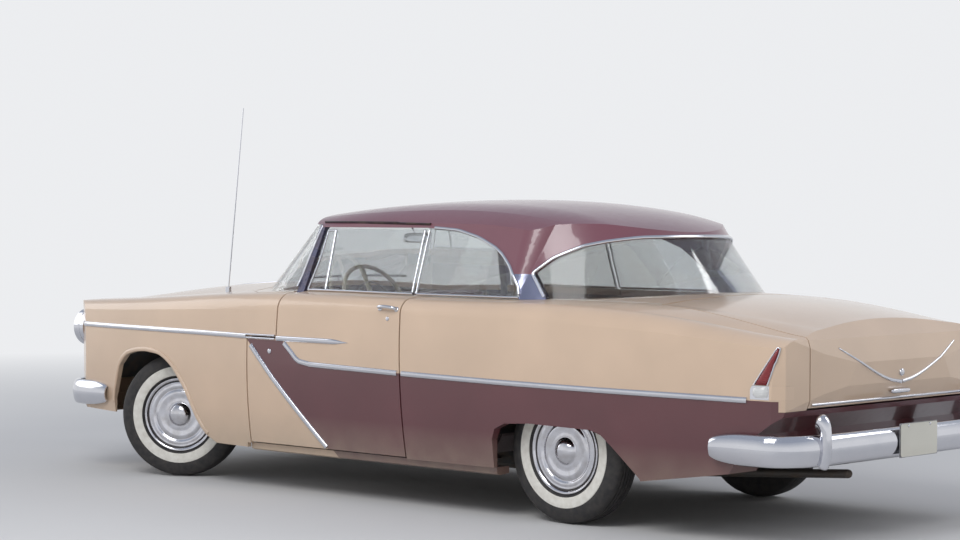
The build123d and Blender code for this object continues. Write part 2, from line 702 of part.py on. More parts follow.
def chassis_frame():
    outline = [
        (-BUMPER_BACK_Y, FRONT_RAIL_TOP_Z), (-1400, FRONT_RAIL_TOP_Z), (-1150, RAIL_TOP_Z),
        (700, RAIL_TOP_Z), (860, REAR_RAIL_TOP_Z), (1900, REAR_RAIL_TOP_Z), (2200, 450),
        (BUMPER_BACK_Y, 450), (BUMPER_BACK_Y, 390), (2200, 390), (1850, 410), (960, 410),
        (760, RAIL_BASE_Z), (-1180, RAIL_BASE_Z), (-1420, 320), (-BUMPER_BACK_Y, 340)]
    rail = side_block(outline, RAIL_X - RAIL_WIDTH / 2, RAIL_X + RAIL_WIDTH / 2)
    frame = rail + mirror(rail, about=Plane.YZ)
    # cross members: y from, y to, z from, z to
    for y_from, y_to, z_from, z_to in [
        (-2260, -2190, 345, 395), (-700, -640, 235, 285),
        (60, 120, 235, 285), (1480, 1540, 415, 480), (2180, 2230, 395, 445),
    ]:
        frame += block(-RAIL_X, RAIL_X, y_from, y_to, z_from, z_to)
    for y_mid in (-760, -60, 390):
        frame += both_sides(block(RAIL_X, 799.7, y_mid - 30, y_mid + 30, 230, RAIL_TOP_Z))
    frame += both_sides(block(RAIL_X, SPRING_X + 28, SPRING_FRONT_Y - 40, SPRING_FRONT_Y, 250, RAIL_TOP_Z))
    frame += both_sides(block(RAIL_X, SPRING_X + 28, SPRING_REAR_Y, SPRING_REAR_Y + 40, 396, 470))
    mid_y = FRONT_AXLE_Y
    drop = plan_block([(-10, mid_y - 40), (401.9, mid_y - 40), (401.9, mid_y + 40), (-10, mid_y + 40)],
                      LOWER_PIVOT_Z - 18, FRONT_RAIL_TOP_Z - 60)
    tower = block(RAIL_X - 15, 445, mid_y - 40, mid_y + 40, FRONT_RAIL_TOP_Z - 10, UPPER_PIVOT_Z - 18.1)
    frame += both_sides(drop + tower)
    return frame




def floor_pan():
    outline = [
        (FIREWALL_Y, 1100), (FIREWALL_Y, FLOOR_Z + 60), (FIREWALL_Y + 90, FLOOR_Z),
        (700, FLOOR_Z), (840, TRUNK_FLOOR_Z), (2380, TRUNK_FLOOR_Z), (2380, TRUNK_FLOOR_Z + FLOOR),
        (835, TRUNK_FLOOR_Z + FLOOR), (695, FLOOR_Z + FLOOR), (FIREWALL_Y + 95, FLOOR_Z + FLOOR),
        (FIREWALL_Y + FLOOR, FLOOR_Z + 65), (FIREWALL_Y + FLOOR, 1100)]
    sheet = side_block(outline, 0, 800)
    sheet &= body_thick
    sheet &= Pos(0, 0, -SEAT_GAP) * body_thin
    sheet -= wheel_space(REAR_AXLE_Y, REAR_HOUSE_INNER_X - 0.5, 1000, ARCH_RADIUS + HOUSE_WALL + 0.5)
    tunnel_out = side_block(
        [(FIREWALL_Y + FLOOR, FLOOR_Z), (FIREWALL_Y + FLOOR, 515), (-820, 460), (-700, 410), (700, 405),
         (850, TRUNK_FLOOR_Z), (700, FLOOR_Z)], 0, 130)
    tunnel_in = side_block(
        [(FIREWALL_Y - 10, FLOOR_Z - 10), (FIREWALL_Y - 10, 505), (-820, 450), (-700, 400), (690, 395),
         (865, TRUNK_FLOOR_Z - 2), (720, FLOOR_Z - 10)], 0, 120)
    pan = both_sides((sheet + tunnel_out) - tunnel_in)
    return pan - rod(steering_axis(50), steering_axis(900), COLUMN_RADIUS + SEAT_GAP)


# Bumpers
BUMPER_SECTION = [(0, -68), (16, -66), (29, -34), (34, 4), (27, 40), (14, 66), (0, 70)]


def bumper(sense, z_mid, side_y, side_x):
    """Bumper bar with wrapped ends; sense is +1 at the rear and -1 at the front."""
    back = BUMPER_BACK_Y
    path = FilletPolyline(
        (side_x, sense * side_y, z_mid), (side_x, sense * (back - 100), z_mid),
        (side_x - 180, sense * back, z_mid), (180 - side_x, sense * back, z_mid),
        (-side_x, sense * (back - 100), z_mid), (-side_x, sense * side_y, z_mid),
        radius=[80, 240, 240, 80])
    plane = Plane(origin=path @ 0, x_dir=(1, 0, 0), z_dir=path % 0)
    up = 1 if plane.y_dir.Z > 0 else -1
    face = make_face(plane * Polyline(*[(u, up * v) for u, v in BUMPER_SECTION], close=True))
    return sweep(face, path=path)


def bumper_guard(sense, x_mid, z_from, z_to):
    profile = [
        (BUMPER_BACK_Y + 8, z_from), (BUMPER_BACK_Y + 34, z_from), (BODY_END_Y, z_from + 50),
        (BODY_END_Y, z_to - 45), (BODY_END_Y - 22, z_to), (BUMPER_BACK_Y - 16, z_to),
        (BUMPER_BACK_Y - 20, z_to - 50), (BUMPER_BACK_Y + 8, z_to - 60)]
    return side_block([(sense * y, z) for y, z in profile], x_mid - 36, x_mid + 36)


def plate_holder():
    """Flat plate at the rear bumper's middle, with two holes for a number plate."""
    face_y = BODY_END_Y - PLATE_THICK
    holder = block(-155, 155, face_y, BODY_END_Y, PLATE_BASE_Z, PLATE_BASE_Z + PLATE_HEIGHT)
    holder += block(-120, 120, BUMPER_BACK_Y + 10, face_y + 1, PLATE_BASE_Z + 50, PLATE_BASE_Z + 90)
    hole_z = PLATE_BASE_Z + PLATE_HEIGHT - 14
    for x_mid in (-PLATE_HOLE_SPACING / 2, PLATE_HOLE_SPACING / 2):
        holder -= rod((x_mid, face_y - 5, hole_z), (x_mid, BODY_END_Y + 5, hole_z), PLATE_HOLE_RADIUS)
    return holder


def rear_bumper():
    bar = bumper(1, 436, 2112, BUMPER_SIDE_X)
    for x_mid in (-600, 600):
        bar += bumper_guard(1, x_mid, 352, 584)
    return bar + plate_holder()


def front_bumper():
    bar = bumper(-1, 440, 2150, BUMPER_SIDE_X)
    for x_mid in (-420, 420):
        bar += bumper_guard(-1, x_mid, 360, 600)
    return bar


# Grille and lamps
def grille():
    bars = block(-519.5, 519.5, -2486, -2462, 612, 650)
    for z_mid in (545, 712):
        bars += block(-519.5, 519.5, -2480, -2462, z_mid - 8, z_mid + 8)
    for x_mid in (-400, -200, 0, 200, 400):
        bars += block(x_mid - 8, x_mid + 8, -2474, -2462, 500.2, 759.8)
    return bars


HEADLAMP_X = 735.0
HEADLAMP_Z = 800.0


def headlamps():
    rim = Pos(HEADLAMP_X, 0, HEADLAMP_Z) * rod((0, -2562, 0), (0, -2478, 0), 108)
    return pair(rim - body_outer)


# Running gear
def rear_axle():
    tube = rod((-662, REAR_AXLE_Y, HUB_Z), (662, REAR_AXLE_Y, HUB_Z), 40)
    tube += rod((-776, REAR_AXLE_Y, HUB_Z), (776, REAR_AXLE_Y, HUB_Z), HUB_BORE - RUN_CLEAR)
    tube += Pos(0, REAR_AXLE_Y, HUB_Z) * Sphere(125)
    tube += rod((0, REAR_AXLE_Y - 240, HUB_Z), (0, REAR_AXLE_Y, HUB_Z), 60)
    for side in (-1, 1):
        tube += rod((side * 655, REAR_AXLE_Y, HUB_Z), (side * 662, REAR_AXLE_Y, HUB_Z), 70)
        tube += rod((side * 697, REAR_AXLE_Y, HUB_Z), (side * 703, REAR_AXLE_Y, HUB_Z), 138)
        tube += rod((side * 662, REAR_AXLE_Y, HUB_Z), (side * 703, REAR_AXLE_Y, HUB_Z), 44)
    return tube


def front_suspension():
    solids = []
    for side in (-1, 1):
        arms = Part()
        # z at the pivot, z at the knuckle, pivot half spread
        for z_in, z_out, spread in [
            (LOWER_PIVOT_Z, LOWER_PIVOT_Z - 3, 170), (UPPER_PIVOT_Z, UPPER_PIVOT_Z + 4, 90),
        ]:
            tip = (side * (KINGPIN_X - 2), FRONT_AXLE_Y, z_out)
            for end in (-1, 1):
                foot = (side * (RAIL_X + 20), FRONT_AXLE_Y + end * spread, z_in)
                arms += rod(foot, tip, 15)
            arms += Pos(*tip) * Sphere(24)
            arms += rod((side * (RAIL_X + 20), FRONT_AXLE_Y - spread - 25, z_in),
                        (side * (RAIL_X + 20), FRONT_AXLE_Y + spread + 25, z_in), 18)
        arms += rod((side * 520, FRONT_AXLE_Y, HUB_Z - 105), (side * 500, FRONT_AXLE_Y, HUB_Z + 150), 52)
        solids.append(arms)
    return Compound(children=solids)


def leaf_springs():
    seat_z = HUB_Z - 40 - SEAT_GAP
    outline = [
        (SPRING_FRONT_Y, 262), (700, 262), (REAR_AXLE_Y, seat_z - 28), (1650, 300),
        (SPRING_REAR_Y, 400), (SPRING_REAR_Y, 425), (1640, 324), (REAR_AXLE_Y, seat_z),
        (700, 286), (SPRING_FRONT_Y, 288)]
    return pair(side_block(outline, SPRING_X - 28, SPRING_X + 28))


def driveline():
    shaft = rod((0, ENGINE_REAR_Y + SEAT_GAP, 370), (0, -860, 352), 85)
    shaft += rod((0, -861, 352), (0, REAR_AXLE_Y - 241, HUB_Z), 38)
    return shaft


ENGINE_REAR_Y = -1350.0


def engine_block():
    return block(-270, 270, -2080, ENGINE_REAR_Y, 372 + SEAT_GAP, 860)


def radiator():
    return block(-330, 330, -2255, -2195, 395 + SEAT_GAP, 900)


def fuel_tank():
    return block(-300, 300, 1700, 2150, 310, TRUNK_FLOOR_Z - SEAT_GAP)


def exhaust():
    points = [
        (200, -1400, 262), (200, -900, 205), (200, 520, 205), (345, 1000, 226), (345, 1500, 236),
        (345, 2440, 300)]
    pipe = block(130, 270, -60, 500, 160, 235 - SEAT_GAP)
    for start, end in zip(points, points[1:]):
        pipe += rod(start, end, 20)
        pipe += Pos(*end) * Sphere(20)
    return pipe


# Cabin
SEAT_HALF = 640.0
STEER_X = 360.0
STEER_WHEEL_Y = -560.0
STEER_WHEEL_Z = 985.0
STEER_WHEEL_R = 215.0
COLUMN_TILT = 28.0
COLUMN_RADIUS = 28.0


def front_seat():
    cushion = side_block(
        [(-440, 420), (-440, 560), (-380, 600), (20, 570), (60, 420)], -SEAT_HALF, SEAT_HALF, 30)
    back = side_block(
        [(25, 420), (10, 600), (110, 1020), (190, 1030), (200, 600), (180, 420)],
        -SEAT_HALF, SEAT_HALF, 25)
    base = block(-SEAT_HALF + 60, SEAT_HALF - 60, -380, 120, FLOOR_Z + 110, 440)
    for x_mid in (-420, 420):
        base += block(x_mid - 30, x_mid + 30, -360, 100, FLOOR_Z + FLOOR, 440)
    return cushion + back + base


def rear_seat():
    cushion = side_block(
        [(470, 425), (470, 590), (520, 620), (860, 580), (850, 530), (780, 500), (690, 425)],
        -560, 560, 18)
    back = side_block(
        [(850, 600), (900, 980), (960, 990), (980, 600), (930, 520), (862, 512)], -560, 560, 20)
    for x_mid in (-400, 400):
        cushion += block(x_mid - 60, x_mid + 60, 490, 660, FLOOR_Z + FLOOR + SEAT_GAP, 440)
    return cushion + back


def package_shelf():
    return both_sides(block(-10, 1000, 985, 1480, 955, 975) & body_thick)


def dashboard():
    back_y = FIREWALL_Y + FLOOR + SEAT_GAP
    outline = [(back_y, 985), (-905, 990), (-860, 1024), (-800, 1014), (-790, 960), (-840, 900),
               (-870, 800), (-920, 780), (-930, 860), (back_y, 880)]
    dash = side_block(outline, -735, 735)
    return dash - rod(steering_axis(50), steering_axis(900), COLUMN_RADIUS + SEAT_GAP)


def steering_axis(distance):
    """A point on the column's axis, measured from the wheel's centre towards the floor."""
    tilt = radians(COLUMN_TILT)
    return (STEER_X, STEER_WHEEL_Y - distance * cos(tilt), STEER_WHEEL_Z - distance * sin(tilt))


def steering_column():
    return rod(steering_axis(60), steering_axis(700), COLUMN_RADIUS)


def steering_wheel():
    plane = Plane(origin=steering_axis(0), z_dir=Vector(*steering_axis(-10)) - Vector(*steering_axis(0)))
    ring = plane * Torus(STEER_WHEEL_R, 11)
    hub = rod(steering_axis(59), steering_axis(-8), 34)
    spoke = plane * Pos(0, 0, -12) * Box(2 * STEER_WHEEL_R, 26, 9)
    return ring + hub + spoke


ANTENNA_X = 738.0
ANTENNA_Y = -1322.0


def antenna():
    base = rod((ANTENNA_X, ANTENNA_Y, 960), (ANTENNA_X, ANTENNA_Y, 1058), 16) - body_cover
    return base + rod((ANTENNA_X, ANTENNA_Y, 1040), (ANTENNA_X, ANTENNA_Y + 122, 2025), 3.2)


# Every node, by name
nodes = {
    "chassis_frame": chassis_frame(),
    "floor_pan": floor_pan(),
    "wheel_houses": wheel_houses(),
    "front_fenders": pair(front_fender()),
    "quarter_panels": pair(quarter_panel()),
    "cowl_panel": cowl_panel(),
    "windshield_pillars": windshield_pillars(),
    "roof_panel": roof_panel(),
    "rear_deck_panel": rear_deck_panel(),
    "tail_panel": tail_panel(),
    "front_panel": front_panel(),
    "rocker_panels": rocker_panels(),
    "windshield_glass": windshield_glass(),
    "backlight_glass": backlight_glass(),
    "quarter_windows": quarter_windows(),
    "hood_panel": hood(),
    "trunk_lid_panel": trunk_lid(),
    "tail_lamp_lenses": tail_lamps(),
    "tail_lamp_bezels": tail_lamp_bezels(),
    "headlamps": headlamps(),
    "grille_bars": grille(),
    "front_bumper": front_bumper(),
    "rear_bumper": rear_bumper(),
    "rear_axle": rear_axle(),
    "front_suspension": front_suspension(),
    "leaf_springs": leaf_springs(),
    "driveline": driveline(),
    "engine_block": engine_block(),
    "radiator": radiator(),
    "fuel_tank": fuel_tank(),
    "exhaust": exhaust(),
    "front_seat": front_seat(),
    "rear_seat": rear_seat(),
    "package_shelf": package_shelf(),
    "dashboard": dashboard(),
    "steering_column": steering_column(),
    "steering_wheel": steering_wheel(),
    "antenna": antenna(),
}

left_door = door_panel()
left_glass = door_glass()
left_wheel = wheel()
left_knuckle = knuckle()
plain_tyre = tyre()

for name, side in (("left", 1), ("right", -1)):
    nodes[f"door_panel_{name}"] = handed(left_door, side)
    nodes[f"door_glass_{name}"] = handed(left_glass, side)
    nodes[f"knuckle_{name}"] = front_place(side) * handed(left_knuckle, side)
    nodes[f"wheel_front_{name}"] = front_place(side) * handed(left_wheel, side)
    nodes[f"tyre_front_{name}"] = front_place(side) * handed(plain_tyre, side)
    nodes[f"wheel_rear_{name}"] = rear_place(side) * handed(left_wheel, side)
    nodes[f"tyre_rear_{name}"] = rear_place(side) * handed(plain_tyre, side)

os.makedirs("parts", exist_ok=True)
for name, shape in nodes.items():
    export_step(shape, f"parts/{name}.step")
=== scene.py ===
"""Dresses a 1950s two-door hardtop: paint, chrome, glass, trim, tyres, cabin, floor, light and camera."""
import json
import math

import bmesh
import bpy
from mathutils import Matrix, Vector
from mathutils.bvhtree import BVHTree


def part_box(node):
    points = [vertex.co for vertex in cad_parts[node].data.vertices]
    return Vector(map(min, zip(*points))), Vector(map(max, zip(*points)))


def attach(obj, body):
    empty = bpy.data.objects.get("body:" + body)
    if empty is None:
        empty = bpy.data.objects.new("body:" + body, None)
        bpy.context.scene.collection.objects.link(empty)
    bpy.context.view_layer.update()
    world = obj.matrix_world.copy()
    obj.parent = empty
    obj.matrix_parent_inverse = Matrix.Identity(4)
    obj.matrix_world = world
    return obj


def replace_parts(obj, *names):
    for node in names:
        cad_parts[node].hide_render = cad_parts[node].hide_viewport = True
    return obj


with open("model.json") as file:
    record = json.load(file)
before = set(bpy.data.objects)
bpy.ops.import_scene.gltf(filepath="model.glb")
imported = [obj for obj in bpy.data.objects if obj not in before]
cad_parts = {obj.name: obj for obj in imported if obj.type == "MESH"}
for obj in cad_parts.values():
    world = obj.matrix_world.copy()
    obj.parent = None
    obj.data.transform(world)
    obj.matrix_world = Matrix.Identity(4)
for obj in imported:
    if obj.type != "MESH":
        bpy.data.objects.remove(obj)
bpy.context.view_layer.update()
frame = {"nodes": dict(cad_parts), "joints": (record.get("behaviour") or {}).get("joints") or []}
nodes = frame["nodes"]

bl_info = {
    "name": "Classic Car Dresser",
    "version": (1, 0, 0),
    "blender": (4, 2, 0),
    "location": "View3D > Sidebar > Classic Car",
    "description": "Paints and trims a 1950s two-door hardtop around its packed solids",
    "category": "Object",
}

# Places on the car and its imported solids, in metres
DOOR_END_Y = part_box("door_panel_left")[1].y
SEAM_HALF = 0.006
PILLAR_FOOT_Z = 1.168
PILLAR_FRONT_Y = 0.5
POD_END_Y = 2.394
POD_SIDE_X = 0.868
FENDER_SIDE_X = 0.862
FENDER_END_Y = 2.30
POD_FOOT_Z = 0.604
SWEEP_TOP_Z = 0.797
SWEEP_INNER_X = 0.66
DUST_TOP_Z = 0.42
SEAM_DEPTH_X = 0.60
BESIDE_X = 1.4
CENTRE_REACH = 2.2
SEAM_NUDGES = (0.0, 0.012, -0.012, 0.024, -0.024)
STRIP_SINK = 0.003
DOOR_SHOULDER_Y = -0.705
SHOULDER_Z = 0.8125
LAP_FRONT_Y = -0.936
SPEAR_GAP = 0.0060
STUD_PLACE = (-0.752, 0.739)
HANDLE_FRONT = (0.052, 0.985)
HANDLE_REAR = (0.168, 0.982)
LOCK_PLACE = (0.110, 0.935)
HOOD_LIP_Z = 0.912
LID_STRIP_Z = 0.6265
LID_HANDLE_Z = 0.662
LID_LOCK_Z = 0.742
# Radii of the ring of painted shade in a wheel cover's groove, and how far out from the wheel's middle the
# bright part starts, with painted shade inward of it
COVER_SHADE_RING = (0.1785, 0.1875)
COVER_FACE = 0.055
WHITE_WALL_FACE = 0.03

# Lines on the car's side, as (y, z)
UPPER_SPEAR = [(-2.415, 0.826), (-2.232, 0.824), (-1.758, 0.821), (-1.332, 0.817), (-0.925, 0.811),
               (-0.705, 0.808), (-0.311, 0.807), (-0.163, 0.804)]
DIAGONAL = [(-0.925, 0.788), (-0.728, 0.599), (-0.535, 0.428), (-0.346, 0.262)]
LOWER_SPEAR = [(-0.640, 0.784), (-0.590, 0.745), (-0.536, 0.698), (-0.440, 0.684), (-0.163, 0.677),
               (0.194, 0.669), (0.865, 0.659), (1.485, 0.654), (2.058, 0.652), (2.286, 0.650)]

JOINTS = {joint["name"]: joint for joint in frame["joints"]}


def maths(operation, turned=False):
    """A method of Signal that makes one maths node; turned puts the other value first."""
    def method(self, *others):
        node = self.tree.nodes.new("ShaderNodeMath")
        node.operation = operation
        for slot, value in zip(node.inputs, (*others, self) if turned else (self, *others)):
            feed(self.tree, slot, value)
        return Signal(self.tree, node.outputs[0])
    return method


class Signal:
    """A socket of a material that takes part in sums like a number."""

    def __init__(self, tree, socket):
        self.tree = tree
        self.socket = socket

    __add__ = maths("ADD")
    __radd__ = maths("ADD", turned=True)
    __sub__ = maths("SUBTRACT")
    __rsub__ = maths("SUBTRACT", turned=True)
    __mul__ = maths("MULTIPLY")
    __rmul__ = maths("MULTIPLY", turned=True)
    __truediv__ = maths("DIVIDE")
    __rtruediv__ = maths("DIVIDE", turned=True)
    __gt__ = maths("GREATER_THAN")
    __lt__ = maths("LESS_THAN")
    above = maths("MAXIMUM")
    below = maths("MINIMUM")
    size = maths("ABSOLUTE")
    sine = maths("SINE")

    def ramp(self, low, high):
        """0 at low, 1 at high, straight between and held outside."""
        return ((self - low) / (high - low)).above(0.0).below(1.0)


def feed(tree, slot, value):
    """Sets a socket's constant or links a signal to it."""
    if isinstance(value, Signal):
        tree.links.new(value.socket, slot)
    else:
        slot.default_value = value


class Nodes:
    """A node tree, and the ways of adding to it."""

    def __init__(self, tree):
        self.tree = tree

    def node(self, kind, settings=None, sockets=None):
        """Any node: its type, then its settings, then the values or links of its sockets."""
        made = self.tree.nodes.new(kind)
        for label, value in (settings or {}).items():
            setattr(made, label, value)
        for label, value in (sockets or {}).items():
            feed(self.tree, made.inputs[label], value)
        return made

    def signal(self, node, output=0):
        return Signal(self.tree, node.outputs[output])

    def mix(self, share, low, high):
        """A colour between two others; a colour mix has its own sockets, by number."""
        return self.signal(self.node("ShaderNodeMix", {"data_type": "RGBA"}, {0: share, 6: low, 7: high}), 2)

    def vectors(self, operation, *values, output="Value"):
        """Vector maths that gives a number, or with its other output a vector."""
        made = self.node("ShaderNodeVectorMath", {"operation": operation}, dict(enumerate(values)))
        return self.signal(made, output)

    def axes(self, place):
        split = self.node("ShaderNodeSeparateXYZ", sockets={"Vector": place})
        return [self.signal(split, axis) for axis in "XYZ"]


class Finish(Nodes):
    """A procedural material with one Principled shader."""

    def __init__(self, name, **constants):
        self.material = bpy.data.materials.new(name)
        self.material.use_nodes = True
        super().__init__(self.material.node_tree)
        self.shader = self.tree.nodes["Principled BSDF"]
        self.place = self.signal(self.node("ShaderNodeTexCoord"), "Object")
        self.x, self.y, self.z = self.axes(self.place)
        for label, value in constants.items():
            self.set(label.replace("_", " ").title(), value)

    def set(self, label, value):
        feed(self.tree, self.shader.inputs[label.replace("Ior", "IOR")], value)

    def noise(self, scale, detail=2.0):
        made = self.node("ShaderNodeTexNoise", sockets={
            "Vector": self.place, "Scale": scale, "Detail": detail})
        return self.signal(made, "Factor" if "Factor" in made.outputs else "Fac")

    def from_axle(self, centre, axis):
        """Distances from an axle's line and outward along it."""
        away = self.vectors("SUBTRACT", self.place, centre, output="Vector")
        cross = self.vectors("CROSS_PRODUCT", away, axis, output="Vector")
        return self.vectors("LENGTH", cross), self.vectors("DOT_PRODUCT", away, axis)

    def bump(self, height, strength=0.2, distance=0.001):
        made = self.node("ShaderNodeBump", sockets={
            "Height": height, "Strength": strength, "Distance": distance})
        self.set("Normal", self.signal(made, "Normal"))


def rgb(colour, scale=1.0):
    return (colour[0] * scale, colour[1] * scale, colour[2] * scale, 1.0)


# Paint and other finishes
ENAMEL = {"metallic": 0.0, "coat_weight": 0.7, "coat_roughness": 0.06, "ior": 1.5}


def mottled(finish, colour, darker=0.94, lighter=1.05):
    """A colour that is faintly uneven over the panels."""
    return finish.mix(finish.noise(2.2, 3.0).ramp(0.3, 0.7), rgb(colour, darker), rgb(colour, lighter))


def glossy(finish, wear):
    """Gives enamel its roughness, with the wear's added, and its orange peel."""
    finish.set("Roughness", finish.noise(30.0, 3.0) * 0.1 + 0.27 + wear)
    finish.bump(finish.noise(260.0, 1.0), 0.05, 0.0006)
    return finish.material


def dusty(finish, tone):
    """Gloss enamel under road dust that thickens towards the sills."""
    reach = (DUST_TOP_Z - finish.z).ramp(0.0, 0.3) * (finish.noise(9.0, 4.0) * 0.8 + 0.25)
    finish.set("Base Color", finish.mix(reach.below(0.55), tone, rgb((0.33, 0.27, 0.2))))
    return glossy(finish, reach * 0.4)


def paint(name, colour):
    """Gloss enamel of one colour with a clear top."""
    finish = Finish(name, **ENAMEL)
    return dusty(finish, mottled(finish, colour))


def two_tone(name, cream, maroon):
    """The car's side: cream above, with the dark sweep between the diagonal and the lower spear."""
    finish = Finish(name, **ENAMEL)
    edge = None
    for start, end in ((0, 2), (2, 5), (5, 7), (7, 9)):
        (y1, z1), (y2, z2) = LOWER_SPEAR[start], LOWER_SPEAR[end]
        run = (finish.y - y1) * ((z2 - z1) / (y2 - y1)) + z1
        edge = edge.above(run) if edge else run
    (y1, z1), (y2, z2) = DIAGONAL[0], DIAGONAL[-1]
    slant = (z1 - finish.z) * ((y2 - y1) / (z1 - z2)) + y1
    width = finish.x.size()
    off_pod = ((width > FENDER_SIDE_X) + (finish.y < FENDER_END_Y) + (finish.z < POD_FOOT_Z)).below(1.0)
    below = (finish.z < edge.below(SWEEP_TOP_Z)) * (finish.y > slant)
    sweep = below * (width > SWEEP_INNER_X) * off_pod
    return dusty(finish, finish.mix(sweep, mottled(finish, cream), mottled(finish, maroon, 0.9, 1.1)))


def roof_finish(name, colour):
    """Roof enamel, with a bright panel at the foot of each rear pillar, its dark bluish tone a painted
    reflection.
    """
    finish = Finish(name, coat_roughness=0.06, ior=1.5)
    foot = (finish.z < PILLAR_FOOT_Z) * (finish.y > PILLAR_FRONT_Y)
    # the foot panel is real bright trim; its dark bluish base colour is painted reflection
    finish.set("Base Color", finish.mix(foot, mottled(finish, colour), rgb((0.30, 0.31, 0.42))))
    finish.set("Metallic", foot)
    finish.set("Coat Weight", 0.7 - foot * 0.6)
    return glossy(finish, foot * -0.1)


def clouded(finish):
    """The clouds on bright plate, and its tone."""
    cloud = finish.noise(7.0, 3.0)
    return cloud, finish.mix(cloud, rgb((0.60, 0.61, 0.66)), rgb((0.74, 0.74, 0.77)))


def pod_plate(name, cream):
    """Chrome for the lamp pod at the fender's side, and the fender's cream round its end."""
    finish = Finish(name, ior=1.5)
    end = (finish.y > POD_END_Y).above(finish.x.size() < POD_SIDE_X)
    cloud, plate = clouded(finish)
    finish.set("Base Color", finish.mix(end, plate, rgb(cream)))
    finish.set("Metallic", 1.0 - end)
    finish.set("Coat Weight", end * 0.7)
    finish.set("Roughness", cloud * 0.05 + 0.06 + end * 0.2)
    finish.bump(cloud, 0.03, 0.0003)
    return finish.material


def chrome_plate(name):
    """Bright plate, a little clouded and pitted."""
    finish = Finish(name, metallic=1.0)
    cloud, plate = clouded(finish)
    finish.set("Base Color", plate)
    pits = finish.noise(420.0, 2.0).ramp(0.66, 0.74)
    finish.set("Roughness", cloud * 0.05 + 0.06 + pits * 0.25)
    finish.bump(pits, 0.12, 0.0003)
    return finish.material


def dull_metal(name, colour, roughness=0.45):
    """Painted or bare metal under the car, with grime."""
    finish = Finish(name, metallic=0.4)
    spots = finish.noise(14.0, 5.0).ramp(0.45, 0.7)
    finish.set("Base Color", finish.mix(spots * 0.7, rgb(colour), rgb((0.1, 0.07, 0.05))))
    finish.set("Roughness", spots * 0.25 + roughness)
    finish.bump(finish.noise(90.0, 3.0), 0.25, 0.001)
    return finish.material


def clear_glass(name, tint):
    """Window glass, thin to the light and a little hazy."""
    finish = Finish(name, metallic=0.0, ior=1.45, transmission_weight=1.0, alpha=0.4)
    haze = finish.noise(3.0, 2.0)
    finish.set("Base Color", finish.mix(haze, rgb(tint, 0.96), rgb(tint, 1.0)))
    finish.set("Roughness", haze * 0.02)
    return finish.material


def lamp_glass(name, colour, flutes):
    """Moulded lens with fine flutes across it, flutes being their turns in a metre."""
    finish = Finish(name, metallic=0.0, ior=1.49, coat_weight=0.6, transmission_weight=0.25)
    depth = finish.noise(12.0, 2.0)
    finish.set("Base Color", finish.mix(depth, rgb(colour, 0.75), rgb(colour, 1.1)))
    finish.set("Roughness", depth * 0.08 + 0.12)
    finish.bump((finish.z * flutes).sine() * 0.5 + 0.5, 0.5, 0.0015)
    return finish.material


def tyre_rubber(name, centre, axis, band):
    """Black rubber with a white wall between two radii of the axle."""
    finish = Finish(name, metallic=0.0)
    radius, outward = finish.from_axle(centre, axis)
    white = (radius > band[0]) * (radius < band[1]) * (outward > WHITE_WALL_FACE)
    scuff = finish.noise(35.0, 4.0).ramp(0.35, 0.75)
    wall = finish.mix(scuff * 0.45, rgb((0.74, 0.72, 0.66)), rgb((0.46, 0.42, 0.36)))
    black = finish.mix(scuff, rgb((0.018, 0.017, 0.018)), rgb((0.05, 0.045, 0.042)))
    finish.set("Base Color", finish.mix(white, black, wall))
    finish.set("Roughness", scuff * 0.18 + 0.62)
    finish.bump(finish.noise(300.0, 2.0), 0.2, 0.0006)
    return finish.material


def cover_plate(name, centre, axis):
    """Chrome for a wheel cover, with painted shade as a near-black ring in its groove and behind its face,
    and brake dust in its rings.
    """
    finish = Finish(name)
    radius, outward = finish.from_axle(centre, axis)
    # near black in the groove by the lip and behind the cover's face: painted shade, not the metal's own
    # colour
    gap = ((radius > COVER_SHADE_RING[0]) * (radius < COVER_SHADE_RING[1]) + (outward < COVER_FACE)).below(1.0)
    cloud = finish.noise(24.0, 3.0)
    dust = cloud.ramp(0.4, 0.8) * 0.5
    plate = finish.mix(dust, rgb((0.68, 0.68, 0.72)), rgb((0.40, 0.37, 0.34)))
    finish.set("Base Color", finish.mix(gap, plate, rgb((0.05, 0.045, 0.045))))
    finish.set("Metallic", 1.0 - gap * 0.8)
    finish.set("Roughness", cloud * 0.08 + 0.07 + dust * 0.25 + gap * 0.3)
    finish.bump(cloud, 0.05, 0.0004)
    return finish.material


THREADS = 900.0
STRIPES = 120.0


def woven(name, colour, second):
    """Ribbed seat cloth; threads and stripes are given by their turns in a metre."""
    finish = Finish(name, metallic=0.0, sheen_weight=0.3)
    weave = (finish.x * THREADS).sine() * (finish.z * THREADS + finish.y * THREADS).sine()
    stripe = (finish.x * STRIPES).sine().ramp(-0.2, 0.2)
    finish.set("Base Color", finish.mix(stripe * 0.5 + weave * 0.1, rgb(colour), rgb(second)))
    finish.set("Roughness", finish.noise(60.0, 2.0) * 0.15 + 0.75)
    finish.bump(weave, 0.4, 0.0008)
    return finish.material


def vinyl(name, colour):
    finish = Finish(name, metallic=0.0, coat_weight=0.15)
    grain = finish.noise(380.0, 3.0)
    finish.set("Base Color", finish.mix(finish.noise(6.0), rgb(colour, 0.88), rgb(colour, 1.08)))
    finish.set("Roughness", grain * 0.2 + 0.38)
    finish.bump(grain, 0.35, 0.0006)
    return finish.material


def carpet(name, colour):
    finish = Finish(name, metallic=0.0, sheen_weight=0.4)
    pile = finish.noise(500.0, 4.0)
    finish.set("Base Color", finish.mix(pile, rgb(colour, 0.6), rgb(colour, 1.2)))
    finish.set("Roughness", pile * 0.1 + 0.85)
    finish.bump(pile, 0.7, 0.003)
    return finish.material


